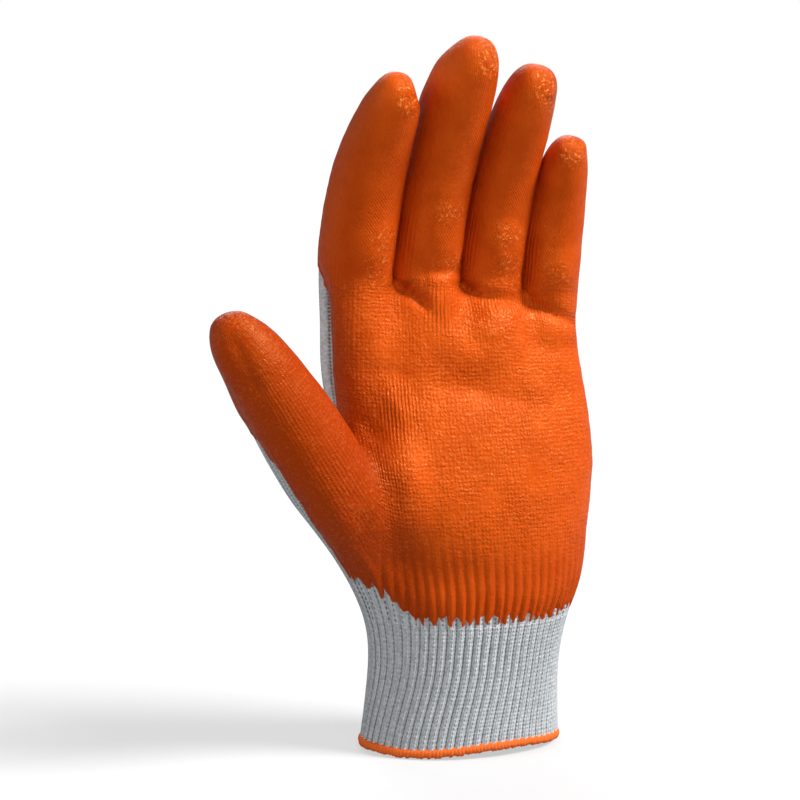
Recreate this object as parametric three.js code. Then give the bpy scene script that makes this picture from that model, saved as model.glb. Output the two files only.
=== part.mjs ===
import * as THREE from "three";
import { mergeVertices } from "three/addons/utils/BufferGeometryUtils.js";

// Latex coated knitted work glove for the left hand, filled out as by a relaxed open hand.
// Millimetres. +Z runs from the hem to the fingertips, the palm faces -Y, the thumb points to -X.
// The origin is the middle of the wrist opening, in the plane of the hem.
//
// The hand is one cage of quads. Each control point holds x, y, z and cover: how far, in
// millimetres, it lies inside the latex (positive) or outside it (negative). The solids lie on
// the smooth surface that the cage describes, so knit and latex share every contour.

// Driving sizes
const ROOT_HEIGHT = 165; // hem to the crotch between middle and ring finger
const PALM_WIDTH = 94;
const PALM_DEPTH = 40;
const FINGER_WIDTH = 21.4;
const FINGER_DEPTH = 24;
const FINGER_LENGTH = 87;
const FINGER_SPACING = 3.4; // knit to knit, at the crotches
const CROTCH_SINK = 1; // how far a finger's sides drop below its root
const BACK_SINK = 6; // how far the back of its root drops
const THUMB_WIDTH = 25.5;
const THUMB_LENGTH = 106; // straight from the path's start inside the palm to the tip
const KNIT_WALL = 1.5;
const LATEX_WALL = 1;
const FIT_GAP = 0.3; // between neighbouring pieces
const HEM_HEIGHT = 2.4;
const HEM_THICKNESS = 2.8;
const STITCH_RELIEF = 0.25; // how far the hem's stitches rise and fall
const RIB_COUNT = 60;
const RIB_DEPTH = 0.7;
const PALM_HOLLOW = 2.5; // depth of the hollow in the middle of the palm
const ROOT_CREASE = 2.4; // depth of the crease below each finger, on the palm side
const ROOT_PAD = 1.2; // height of the soft pad below that crease
const LATEX_LOW_POINT = 43; // lowest height of the latex edge, on the palm side of the wrist
const LATEX_LOW_X = 8; // how far that point stands from the middle, to the little finger's side
const LATEX_SIDE_RISE = 17.2; // how far the edge has risen half a palm's width from there
const LATEX_SIDE_INSET = 2; // how far in front of the middle plane the latex ends at the sides

// Colours
const LATEX_ORANGE = 0xd9560f;
const KNIT_GREY = 0xbfc4c8;
const CUFF_GREY = 0xb9bec2;
const HEM_ORANGE = 0xee6a1c;

// Fingers, from the thumb's side. Width, depth and length are shares of the sizes above, the
// drop a share of the root height, tip how wide the end is beside an even finger's. Lean is
// sideways and grows by lean_more, pitch and curl are forward, in degrees. Tongue is the share
// of the length at which the bare knit ends on the back.
const FINGER_COLUMNS = ["name", "width", "depth", "length", "drop", "tip", "lean", "lean_more",
  "pitch", "curl", "tongue"];
const FINGER_TABLE = [
  ["index", 1.1, 1.04, 0.85, 0.0, 0.86, 2.5, 13, 12, 26, 0.66],
  ["middle", 0.95, 1.0, 0.99, 0.0, 1.06, 3.0, 9.5, 10, 26, 0.7],
  ["ring", 0.87, 0.96, 0.89, 0.008, 1.04, 3.5, 7.5, 9.5, 26, 0.67],
  ["little", 0.84, 0.86, 0.645, 0.04, 0.86, 1.0, 0, 9, 25, 0.57],
];

// Along a finger: share of its length, then width and depth as shares of those at its root.
const FINGER_PROFILE_COLUMNS = ["along", "width", "depth"];
const FINGER_PROFILE = [
  [0.12, 1.0, 0.99],
  [0.26, 1.01, 0.98],
  [0.4, 1.02, 0.98],
  [0.54, 1.01, 0.96],
  [0.66, 0.97, 0.92],
  [0.77, 0.91, 0.86],
  [0.86, 0.81, 0.77],
  [0.93, 0.66, 0.63],
  [0.98, 0.43, 0.41],
];

// Along the wrist and palm: height as a share of the root height, width and depth as shares
// of the palm's, shifts as shares of the palm width. Follow is how far the columns have moved
// from even spacing to stand below the fingers, scallop how far the section follows them, and
// square how far it has left the oval for a rounded rectangle.
const PALM_COLUMNS = ["height", "width", "depth", "shift_x", "shift_y", "follow", "scallop",
  "square"];
const PALM_TABLE = [
  [0.0, 0.762, 1.2, 0.0, 0.0, 0.0, 0.0, 0.0],
  [0.1, 0.73, 1.18, 0.008, 0.0, 0.0, 0.0, 0.0],
  [0.2, 0.717, 1.16, 0.016, -0.01, 0.05, 0.0, 0.0],
  [0.279, 0.755, 1.14, 0.03, -0.02, 0.15, 0.0, 0.01],
  [0.352, 0.838, 1.12, 0.03, -0.03, 0.3, 0.0, 0.02],
  [0.426, 0.909, 1.1, 0.006, -0.04, 0.5, 0.0, 0.035],
  [0.5, 0.966, 1.06, -0.01, -0.045, 0.7, 0.0, 0.05],
  [0.573, 1.002, 1.02, -0.025, -0.045, 0.85, 0.0, 0.06],
  [0.648, 1.021, 0.96, -0.037, -0.04, 1.0, 0.0, 0.07],
  [0.724, 1.01, 0.9, -0.046, -0.03, 1.0, 0.05, 0.085],
  [0.805, 0.992, 0.82, -0.051, -0.015, 1.0, 0.25, 0.1],
  [0.9, 0.977, 0.74, -0.051, 0.0, 1.0, 0.6, 0.115],
];
const ROOT_SHIFT_X = -0.051; // share of the palm width
const CUFF_ROWS = 3; // palm rows below the joint between cuff and hand
const SCALLOP_DROP = 0.8; // how far the palm's rings follow the fingers' unequal heights
const SCALLOP_FRONT = 0.4; // how far they follow the fingers' fronts, beside their backs

// The hollow of the palm and the pads below the fingers: height and its reach as shares of
// the root height, x and its reach as shares of the palm width.
const HOLLOW_SPOT = { height: 0.65, height_reach: 0.25, x: 0.053, x_reach: 0.404 };
const PAD_BAND = { height: 0.9, height_reach: 0.1 };

// The thumb leaves the palm through a hole between these rows and columns; column 0 is the
// middle of the thumb's side. Its path starts inside the palm, at shares of the palm width,
// the palm width and the root height, and bends by points at shares of the thumb's length.
const HOLE = { row_low: 4, row_high: 8, column_low: -2, column_high: 3 };
const THUMB_START = { x: -0.277, y: -0.085, z: 0.436 };
const THUMB_PATH_COLUMNS = ["x", "y", "z"];
const THUMB_PATH_TABLE = [
  [0.0, 0.0, 0.0],
  [-0.236, -0.132, 0.198],
  [-0.382, -0.208, 0.472],
  [-0.585, -0.226, 0.778],
];
const THUMB_PAD = [0.45, -0.85, 0]; // the way the thumb's pad faces
// Along the thumb: share of the path, width and depth as shares of the thumb's width, round
// is how far the section has left the hole's shape for an oval. Outer and inner are the
// latex edge's angles from the pad, in degrees, to the wrist side and to the finger side.
const THUMB_COLUMNS = ["along", "width", "depth", "round", "outer", "inner"];
const THUMB_TABLE = [
  [0.26, 1.6, 1.35, 0.35, 84, -120],
  [0.38, 1.4, 1.22, 0.65, 84, -128],
  [0.5, 1.22, 1.12, 0.9, 88, -130],
  [0.62, 1.08, 1.05, 1.0, 104, -138],
  [0.73, 0.98, 0.95, 1.0, 150, -165],
  [0.83, 0.88, 0.84, 1.0, 220, -220],
  [0.91, 0.74, 0.69, 1.0, 260, -260],
  [0.965, 0.5, 0.47, 1.0, 300, -300],
];

// The bare knit's tongue on a finger's back: half its width in degrees, how many more at the
// crotch, the share of the length over which those fade, and how blunt its end is.
const TONGUE = { angle: 52, crotch_angle: 14, crotch_fade: 0.12, bluntness: 0.3 };

// Along a finger: where the root's slant has gone, and between which shares it takes on the
// width of its tip. How high a tip's dome rises, beside the reach from its last ring.
const ROOT_FADE = 0.3;
const SLIM_FROM = 0.2;
const SLIM_TO = 0.9;
const DOME_RISE = 1.1;

const FRONT = 4; // quads across a finger's front, and across its back
const SIDE = 2; // quads across each side of a finger
const RING = 2 * (FRONT + SIDE); // points round a finger

// The web between thumb and palm is relaxed: how often, how far from the hole, how strongly.
const WEB_ROUNDS = 7;
const WEB_REACH = 24;
const WEB_PULL = 0.75;

const rows = (columns, table) =>
  table.map((row) => Object.fromEntries(columns.map((name, i) => [name, row[i]])));
const FINGERS = rows(FINGER_COLUMNS, FINGER_TABLE);
const PROFILE = rows(FINGER_PROFILE_COLUMNS, FINGER_PROFILE);
const PALM = rows(PALM_COLUMNS, PALM_TABLE);
const THUMB = rows(THUMB_COLUMNS, THUMB_TABLE);
const THUMB_CURVE = new THREE.CubicBezierCurve3(
  ...rows(THUMB_PATH_COLUMNS, THUMB_PATH_TABLE).map(
    (row) =>
      new THREE.Vector3(
        THUMB_START.x * PALM_WIDTH + row.x * THUMB_LENGTH,
        THUMB_START.y * PALM_WIDTH + row.y * THUMB_LENGTH,
        THUMB_START.z * ROOT_HEIGHT + row.z * THUMB_LENGTH
      )
  )
);

const radians = THREE.MathUtils.degToRad;
const clamp = THREE.MathUtils.clamp;
const lerp = THREE.MathUtils.lerp;
const smooth = (t) => THREE.MathUtils.smoothstep(t, 0, 1);

// Control points stand a little outside the smooth curve that they draw: by this factor on a
// circle of so many points.
const drawGain = (count) => 6 / (4 + 2 * Math.cos((2 * Math.PI) / count));

const power = (value, exponent) => Math.sign(value) * Math.abs(value) ** exponent;

// A bump of height 1 at the centre that has gone at the half width.
const bump = (value, centre, half) => {
  const t = clamp(1 - Math.abs(value - centre) / half, 0, 1);
  return smooth(t);
};

class Cage {
  constructor() {
    this.points = [];
    this.quads = [];
    this.parts = [];
  }

  add(point) {
    this.points.push(point);
    return this.points.length - 1;
  }

  quad(a, b, c, d, part) {
    this.quads.push([a, b, c, d]);
    this.parts.push(part);
  }
}

// Round a finger, from the palm side towards the little finger.
const ringAngle = (k) => ((k - FRONT / 2) / RING) * 2 * Math.PI;

// How far inside the latex a finger's ring point lies.
function fingerCover(finger, k, along, radius) {
  const turned = THREE.MathUtils.euclideanModulo(ringAngle(k), 2 * Math.PI);
  const fromBack = Math.abs(Math.PI - turned);
  const left = clamp(1 - along / finger.tongue, 0, 1);
  const crotch = TONGUE.crotch_angle * clamp(1 - along / TONGUE.crotch_fade, 0, 1);
  const widest = radians(TONGUE.angle + crotch);
  const tongue = along < finger.tongue ? widest * left ** TONGUE.bluntness : 0;
  const past = Math.max(0, along - finger.tongue) * FINGER_LENGTH * finger.length;
  return (fromBack - tongue) * radius + past;
}

// The four finger roots side by side: ring points on the knuckle line.
function fingerRoots() {
  const gain = drawGain(RING);
  const halves = FINGERS.map((f) => (FINGER_WIDTH * f.width) / 2);
  const total = 2 * halves.reduce((a, b) => a + b, 0) + (FINGERS.length - 1) * FINGER_SPACING;
  let left = ROOT_SHIFT_X * PALM_WIDTH - total / 2;
  const roots = FINGERS.map((finger, i) => {
    const half = halves[i];
    const depth = (FINGER_DEPTH * finger.depth) / 2;
    const x = left + half;
    const z = ROOT_HEIGHT * (1 - finger.drop);
    left += 2 * half + FINGER_SPACING;
    const ring = [];
    for (let k = 0; k < RING; k++) {
      const side = Math.sin(ringAngle(k));
      const front = Math.cos(ringAngle(k));
      const sink = CROTCH_SINK * side * side + (BACK_SINK * (1 - front)) / 2;
      const crease = ROOT_CREASE * clamp(front, 0, 1);
      ring.push([
        x + half * gain * side,
        -depth * gain * front + crease,
        z - sink,
        fingerCover(finger, k, 0, half),
      ]);
    }
    return { finger, half, depth, ring, centre: [x, 0, z] };
  });
  for (let i = 0; i + 1 < roots.length; i++) {
    const a = roots[i].ring;
    const b = roots[i + 1].ring;
    for (let s = 0; s <= SIDE; s++) {
      const right = FRONT + s;
      const left = (RING - s) % RING;
      const z = (a[right][2] + b[left][2]) / 2;
      a[right][2] = z;
      b[left][2] = z;
    }
  }
  return { roots, total };
}

// The finger points that stand on the palm's top edge: column 0 on the thumb's side, then
// along the palm side to the little finger and back along the back of the hand.
function topOrder(roots) {
  const last = roots.length - 1;
  const order = [[0, RING - 1]];
  for (let i = 0; i <= last; i++) {
    for (let k = 0; k <= FRONT; k++) order.push([i, k]);
  }
  order.push([last, FRONT + 1]);
  for (let i = last; i >= 0; i--) {
    for (let k = FRONT + SIDE; k <= 2 * FRONT + SIDE; k++) order.push([i, k]);
  }
  return order;
}

// Angles that stand evenly along an oval.
function evenAngles(count) {
  const steps = 2000;
  const sums = [0];
  for (let i = 1; i <= steps; i++) {
    const a = -Math.PI + (2 * Math.PI * (i - 1)) / steps;
    const b = -Math.PI + (2 * Math.PI * i) / steps;
    const dx = (Math.cos(b) - Math.cos(a)) * PALM_WIDTH * PALM[2].width;
    const dy = (Math.sin(b) - Math.sin(a)) * PALM_DEPTH * PALM[2].depth;
    sums.push(sums[i - 1] + Math.hypot(dx, dy));
  }
  const angles = [];
  let i = 0;
  for (let c = 0; c < count; c++) {
    const wanted = (sums[steps] * c) / count;
    while (sums[i + 1] < wanted) i++;
    const share = (wanted - sums[i]) / (sums[i + 1] - sums[i]);
    angles.push(-Math.PI + (2 * Math.PI * (i + share)) / steps);
  }
  return angles;
}

// Rings of control points from the hem to the knuckles.
function palmRings(roots, total, order) {
  const count = order.length;
  const top = order.map(([i, k]) => roots[i].ring[k]);
  const even = evenAngles(count);
  const reach = total / 2 + (drawGain(RING) - 1) * roots[0].half;
  const below = top.map((point, c) => {
    if (c === 0) return -Math.PI;
    if (c === count / 2) return 0;
    const across = clamp((point[0] - ROOT_SHIFT_X * PALM_WIDTH) / reach, -1, 1);
    return c < count / 2 ? -Math.acos(across) : Math.acos(across);
  });
  const gain = drawGain(count);
  const rings = PALM.map((row) => {
    const z = row.height * ROOT_HEIGHT;
    const hollow = bump(row.height, HOLLOW_SPOT.height, HOLLOW_SPOT.height_reach);
    const pad = bump(row.height, PAD_BAND.height, PAD_BAND.height_reach);
    return top.map((goal, c) => {
      const angle = lerp(even[c], below[c], row.follow);
      const across = power(Math.cos(angle), 1 - row.square);
      const deep = power(Math.sin(angle), 1 - row.square);
      const x = (PALM_WIDTH * row.width * gain * across) / 2;
      const y = (PALM_DEPTH * row.depth * gain * deep) / 2;
      const point = [x + row.shift_x * PALM_WIDTH, y + row.shift_y * PALM_WIDTH, z, 0];
      const frontness = clamp(-Math.sin(angle), 0, 1) ** 2;
      const middle = bump(x / PALM_WIDTH, HOLLOW_SPOT.x, HOLLOW_SPOT.x_reach);
      point[1] += PALM_HOLLOW * frontness * hollow * middle;
      point[1] -= ROOT_PAD * frontness * pad;
      const aside = (point[0] - LATEX_LOW_X) / (PALM_WIDTH / 2);
      const edge = LATEX_LOW_POINT + LATEX_SIDE_RISE * aside ** 2;
      point[3] = Math.min(-y - LATEX_SIDE_INSET, z - edge);
      const flow = row.scallop * lerp(1, SCALLOP_FRONT, frontness);
      point[0] += (goal[0] - point[0]) * row.scallop;
      point[1] += (goal[1] - point[1]) * flow;
      point[2] += (goal[2] - ROOT_HEIGHT) * row.scallop * SCALLOP_DROP;
      return point;
    });
  });
  rings.push(top);
  return rings;
}

// Centre, side and front directions at a share of a finger's length. Its line turns forward
// by the pitch and then the curl, and sideways by the lean.
function fingerFrame(root, along) {
  const { finger, centre } = root;
  const steps = 24;
  const point = [...centre];
  const direction = (share) => {
    const forward = radians(finger.pitch) + radians(finger.curl) * smooth((share - 0.05) / 0.9);
    const aside = radians(finger.lean) + radians(finger.lean_more) * share;
    return [
      Math.sin(aside) * Math.cos(forward),
      -Math.sin(forward),
      Math.cos(aside) * Math.cos(forward),
    ];
  };
  const stride = (along * FINGER_LENGTH * finger.length) / steps;
  for (let i = 0; i < steps; i++) {
    const way = direction((along * (i + 0.5)) / steps);
    for (let a = 0; a < 3; a++) point[a] += way[a] * stride;
  }
  const tangent = new THREE.Vector3(...direction(along)).normalize();
  const aside = radians(finger.lean) + radians(finger.lean_more) * along;
  const side = new THREE.Vector3(Math.cos(aside), 0, -Math.sin(aside));
  side.addScaledVector(tangent, -side.dot(tangent)).normalize();
  const front = new THREE.Vector3().crossVectors(side, tangent);
  if (front.y > 0) front.negate();
  return { centre: new THREE.Vector3(...point), tangent, side, front };
}

// Closes a ring of 2 (across + deep) points with a grid of quads that rises to the tip.
function closeTip(cage, ring, across, deep, tip, part) {
  const count = ring.length;
  const grid = Array.from({ length: across + 1 }, () => new Array(deep + 1).fill(-1));
  for (let k = 0; k <= across; k++) {
    grid[k][0] = ring[k];
    grid[across - k][deep] = ring[across + deep + k];
  }
  for (let k = 1; k < deep; k++) {
    grid[across][k] = ring[across + k];
    grid[0][deep - k] = ring[(2 * across + deep + k) % count];
  }
  const mean = [0, 1, 2, 3].map(
    (a) => ring.reduce((sum, i) => sum + cage.points[i][a], 0) / count
  );
  for (let a = 1; a < across; a++) {
    for (let b = 1; b < deep; b++) {
      const u = a / across;
      const v = b / deep;
      const rise = DOME_RISE * (1 - ((2 * u - 1) ** 2 + (2 * v - 1) ** 2) / 2);
      const at = (i, j) => cage.points[grid[i][j]];
      const point = [0, 1, 2, 3].map((n) => {
        const edges =
          (1 - v) * at(a, 0)[n] + v * at(a, deep)[n] + (1 - u) * at(0, b)[n] + u * at(across, b)[n];
        const corners =
          (1 - u) * (1 - v) * at(0, 0)[n] + u * (1 - v) * at(across, 0)[n] +
          (1 - u) * v * at(0, deep)[n] + u * v * at(across, deep)[n];
        return edges - corners + (tip[n] - mean[n]) * rise;
      });
      grid[a][b] = cage.add(point);
    }
  }
  for (let a = 0; a < across; a++) {
    for (let b = 0; b < deep; b++) {
      cage.quad(grid[a][b], grid[a + 1][b], grid[a + 1][b + 1], grid[a][b + 1], part);
    }
  }
}

function addFinger(cage, root, start) {
  const { finger, half, depth, centre } = root;
  const gain = drawGain(RING);
  let ring = start;
  for (const row of PROFILE) {
    const frame = fingerFrame(root, row.along);
    const fade = Math.max(0, 1 - row.along / ROOT_FADE);
    const slim = lerp(1, finger.tip, smooth((row.along - SLIM_FROM) / (SLIM_TO - SLIM_FROM)));
    const next = ring.map((_, k) => {
      const point = frame.centre.clone();
      point.addScaledVector(frame.side, half * row.width * slim * gain * Math.sin(ringAngle(k)));
      point.addScaledVector(frame.front, depth * row.depth * slim * gain * Math.cos(ringAngle(k)));
      point.addScaledVector(frame.tangent, (root.ring[k][2] - centre[2]) * fade);
      return cage.add([...point.toArray(), fingerCover(finger, k, row.along, half)]);
    });
    for (let k = 0; k < RING; k++) {
      const j = (k + 1) % RING;
      cage.quad(ring[k], ring[j], next[j], next[k], "hand");
    }
    ring = next;
  }
  const covered = FINGER_LENGTH * finger.length * (1 - finger.tongue);
  const tip = [...fingerFrame(root, 1).centre.toArray(), covered];
  closeTip(cage, ring, FRONT, SIDE, tip, "hand");
}

function thumbFrame(along) {
  const tangent = THUMB_CURVE.getTangent(along);
  const front = new THREE.Vector3(...THUMB_PAD);
  front.addScaledVector(tangent, -front.dot(tangent)).normalize();
  const side = new THREE.Vector3().crossVectors(front, tangent).normalize();
  return { centre: THUMB_CURVE.getPoint(along), tangent, front, side };
}

// The thumb's tube: its first rings keep some of the hole's shape, the later ones are oval.
function addThumb(cage, ring) {
  const across = HOLE.column_high - HOLE.column_low;
  const deep = HOLE.row_high - HOLE.row_low;
  const count = ring.length;
  const hole = ring.map((i) => new THREE.Vector3(...cage.points[i].slice(0, 3)));
  const middle = hole.reduce((sum, p) => sum.add(p), new THREE.Vector3()).divideScalar(count);
  const first = thumbFrame(THUMB[0].along);
  const turned = hole.map((p) => {
    const away = p.clone().sub(middle);
    return Math.atan2(away.dot(first.front), away.dot(first.side));
  });
  for (let i = 1; i < count; i++) {
    while (turned[i] - turned[i - 1] > Math.PI) turned[i] -= 2 * Math.PI;
    while (turned[i] - turned[i - 1] < -Math.PI) turned[i] += 2 * Math.PI;
  }
  const mean = turned.reduce((a, b) => a + b, 0) / count;
  const sense = Math.sign(turned[count - 1] - turned[0]);
  const gain = drawGain(count);
  let base = ring;
  for (const row of THUMB) {
    const frame = thumbFrame(row.along);
    const wide = (THUMB_WIDTH * row.width * gain) / 2;
    const thick = (THUMB_WIDTH * row.depth * gain) / 2;
    const next = hole.map((start, k) => {
      const angle = mean + (sense * (k - (count - 1) / 2) * 2 * Math.PI) / count;
      const oval = frame.centre.clone();
      oval.addScaledVector(frame.side, wide * Math.cos(angle));
      oval.addScaledVector(frame.front, thick * Math.sin(angle));
      const away = start.clone().sub(middle);
      away.addScaledVector(frame.tangent, -away.dot(frame.tangent)).add(frame.centre);
      const point = away.lerp(oval, row.round);
      const fromSide = THREE.MathUtils.radToDeg(angle);
      const fromPad = THREE.MathUtils.euclideanModulo(270 - fromSide, 360) - 180;
      const cover = Math.min(row.outer - fromPad, fromPad - row.inner);
      return cage.add([...point.toArray(), radians(cover) * wide]);
    });
    for (let k = 0; k < count; k++) {
      const j = (k + 1) % count;
      cage.quad(base[k], base[j], next[j], next[k], "hand");
    }
    base = next;
  }
  const end = thumbFrame(1).centre;
  closeTip(cage, base, across, deep, [...end.toArray(), THUMB_WIDTH], "hand");
}

// Points near the thumb's hole move towards the mean of their neighbours, so that the web
// between thumb and palm flows from one to the other.
function relaxWeb(cage, hole) {
  const near = cage.points.map(() => new Set());
  for (const quad of cage.quads) {
    for (let i = 0; i < 4; i++) {
      near[quad[i]].add(quad[(i + 1) % 4]);
      near[quad[(i + 1) % 4]].add(quad[i]);
    }
  }
  const floor = PALM[CUFF_ROWS].height * ROOT_HEIGHT - 1;
  for (let round = 0; round < WEB_ROUNDS; round++) {
    const edge = hole.map((i) => [...cage.points[i]]);
    const before = cage.points.map((p) => [...p]);
    before.forEach((point, i) => {
      let gap = Infinity;
      for (const e of edge) {
        gap = Math.min(gap, Math.hypot(point[0] - e[0], point[1] - e[1], point[2] - e[2]));
      }
      const pull = WEB_PULL * clamp(1 - gap / WEB_REACH, 0, 1);
      if (pull === 0 || point[2] < floor) return;
      for (let a = 0; a < 3; a++) {
        let sum = 0;
        for (const j of near[i]) sum += before[j][a];
        cage.points[i][a] = point[a] + pull * (sum / near[i].size - point[a]);
      }
    });
  }
}

function buildCage() {
  const cage = new Cage();
  const { roots, total } = fingerRoots();
  const order = topOrder(roots);
  const rings = palmRings(roots, total, order);
  const count = order.length;
  const last = rings.length - 1;
  const signed = (c) => (c < count / 2 ? c : c - count);
  const wrapped = (c) => (c + count) % count;
  const ids = rings.map((ring, r) =>
    ring.map((point, c) => {
      const inRows = HOLE.row_low < r && r < HOLE.row_high;
      const inColumns = HOLE.column_low < signed(c) && signed(c) < HOLE.column_high;
      return inRows && inColumns ? -1 : cage.add(point);
    })
  );
  for (let r = 0; r < last; r++) {
    for (let c = 0; c < count; c++) {
      const inRows = HOLE.row_low <= r && r < HOLE.row_high;
      const inColumns = HOLE.column_low <= signed(c) && signed(c) < HOLE.column_high;
      if (inRows && inColumns) continue;
      const d = wrapped(c + 1);
      const part = r < CUFF_ROWS ? "cuff" : "hand";
      cage.quad(ids[r][c], ids[r][d], ids[r + 1][d], ids[r + 1][c], part);
    }
  }
  const at = roots.map(() => new Array(RING).fill(-1));
  order.forEach(([i, k], c) => {
    at[i][k] = ids[last][c];
  });
  for (let i = 0; i + 1 < roots.length; i++) {
    for (let s = 1; s < SIDE; s++) {
      at[i][FRONT + s] = cage.add(roots[i].ring[FRONT + s]);
      at[i + 1][RING - s] = cage.add(roots[i + 1].ring[RING - s]);
    }
    for (let s = 0; s < SIDE; s++) {
      const left = at[i + 1][(RING - s) % RING];
      const right = at[i][FRONT + s];
      cage.quad(right, left, at[i + 1][RING - s - 1], at[i][FRONT + s + 1], "hand");
    }
  }
  roots.forEach((root, i) => addFinger(cage, root, at[i]));
  const hole = [];
  const { row_low, row_high, column_low, column_high } = HOLE;
  for (let c = column_low; c < column_high; c++) hole.push(ids[row_low][wrapped(c)]);
  for (let r = row_low; r < row_high; r++) hole.push(ids[r][wrapped(column_high)]);
  for (let c = column_high; c > column_low; c--) hole.push(ids[row_high][wrapped(c)]);
  for (let r = row_high; r > row_low; r--) hole.push(ids[r][wrapped(column_low)]);
  addThumb(cage, hole);
  relaxWeb(cage, hole);
  const wrist = ids.slice(0, CUFF_ROWS + 2).map((ring) => ring.map((i) => cage.points[i]));
  return { cage, rings: wrist };
}

// Where each control point comes to lie on the smooth surface, with the outward direction.
function smoothSurface(cage) {
  const { points, quads } = cage;
  const edgeSum = points.map(() => [0, 0, 0, 0]);
  const faceSum = points.map(() => [0, 0, 0, 0]);
  const valence = points.map(() => 0);
  const seen = new Set();
  const add = (sum, from) => {
    for (let a = 0; a < 4; a++) sum[a] += from[a];
  };
  for (const quad of quads) {
    for (let i = 0; i < 4; i++) {
      const a = quad[i];
      const b = quad[(i + 1) % 4];
      add(faceSum[a], points[quad[(i + 2) % 4]]);
      const key = Math.min(a, b) + "," + Math.max(a, b);
      if (seen.has(key)) continue;
      seen.add(key);
      add(edgeSum[a], points[b]);
      add(edgeSum[b], points[a]);
      valence[a] += 1;
      valence[b] += 1;
    }
  }
  const surface = points.map((point, i) => {
    const n = valence[i];
    return point.map((v, a) => (n * n * v + 4 * edgeSum[i][a] + faceSum[i][a]) / (n * (n + 5)));
  });
  const outward = surface.map(() => new THREE.Vector3());
  for (const quad of quads) {
    const [a, b, c, d] = quad.map((i) => new THREE.Vector3(...surface[i].slice(0, 3)));
    const normal = new THREE.Vector3().crossVectors(c.sub(a), d.sub(b));
    for (const i of quad) outward[i].add(normal);
  }
  return { surface, outward: outward.map((v) => v.normalize()) };
}

// A closed solid from triangles of an open surface: the surface moved outwards by one
// distance, the same surface by another and turned inside out, and a rim along its edge.
function shell(vertices, triangles, inner, outer) {
  const place = (distance) =>
    vertices.map(({ point, normal }) => [
      point[0] + normal.x * distance,
      point[1] + normal.y * distance,
      point[2] + normal.z * distance,
    ]);
  const outerPoints = place(outer);
  const innerPoints = place(inner);
  const count = vertices.length;
  const index = [];
  const edges = new Map();
  for (const [a, b, c] of triangles) {
    index.push(a, b, c, a + count, c + count, b + count);
    for (const [p, q] of [[a, b], [b, c], [c, a]]) {
      const back = q + "," + p;
      if (edges.has(back)) edges.delete(back);
      else edges.set(p + "," + q, [p, q]);
    }
  }
  for (const [p, q] of edges.values()) {
    index.push(p, p + count, q, q, p + count, q + count);
  }
  const geometry = new THREE.BufferGeometry();
  const flat = outerPoints.concat(innerPoints).flat();
  geometry.setAttribute("position", new THREE.Float32BufferAttribute(flat, 3));
  geometry.setIndex(index);
  return geometry;
}

// The triangles of the hand, with its lower edge lifted by half the gap to the cuff.
function handTriangles(cage, surface, outward) {
  const used = new Map();
  const vertices = [];
  const triangles = [];
  const touched = new Set();
  cage.quads.forEach((quad, q) => {
    if (cage.parts[q] === "cuff") quad.forEach((i) => touched.add(i));
  });
  const vertex = (i) => {
    if (!used.has(i)) {
      const point = [...surface[i]];
      if (touched.has(i)) point[2] += FIT_GAP / 2;
      used.set(i, vertices.length);
      vertices.push({ point, normal: outward[i] });
    }
    return used.get(i);
  };
  cage.quads.forEach((quad, q) => {
    if (cage.parts[q] !== "hand") return;
    const [a, b, c, d] = quad.map(vertex);
    triangles.push([a, b, c], [a, c, d]);
  });
  return { vertices, triangles };
}

// The part of those triangles that latex covers, cut where the cover is nought.
function coveredTriangles({ vertices, triangles }) {
  const snap = 0.12;
  const kept = vertices.map((v) => ({ ...v }));
  const cover = vertices.map((v) => v.point[3]);
  for (const triangle of triangles) {
    for (let i = 0; i < 3; i++) {
      const a = triangle[i];
      const b = triangle[(i + 1) % 3];
      if (cover[a] * cover[b] >= 0) continue;
      const share = cover[a] / (cover[a] - cover[b]);
      if (share < snap) cover[a] = 0;
      else if (share > 1 - snap) cover[b] = 0;
    }
  }
  const cuts = new Map();
  const cut = (a, b) => {
    const key = Math.min(a, b) + "," + Math.max(a, b);
    if (!cuts.has(key)) {
      const share = cover[a] / (cover[a] - cover[b]);
      const point = vertices[a].point.map((v, n) => lerp(v, vertices[b].point[n], share));
      const normal = vertices[a].normal.clone().lerp(vertices[b].normal, share).normalize();
      cuts.set(key, kept.length);
      kept.push({ point, normal });
    }
    return cuts.get(key);
  };
  const out = [];
  for (const triangle of triangles) {
    const polygon = [];
    for (let i = 0; i < 3; i++) {
      const a = triangle[i];
      const b = triangle[(i + 1) % 3];
      if (cover[a] >= 0) polygon.push(a);
      if (cover[a] * cover[b] < 0) polygon.push(cut(a, b));
    }
    const inside = triangle.some((i) => cover[i] > 0);
    if (!inside || polygon.length < 3) continue;
    for (let i = 1; i + 1 < polygon.length; i++) {
      out.push([polygon[0], polygon[i], polygon[i + 1]]);
    }
  }
  const used = new Map();
  const vertexList = [];
  const renumbered = out.map((triangle) =>
    triangle.map((i) => {
      if (!used.has(i)) {
        used.set(i, vertexList.length);
        vertexList.push(kept[i]);
      }
      return used.get(i);
    })
  );
  return { vertices: vertexList, triangles: renumbered };
}

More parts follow.
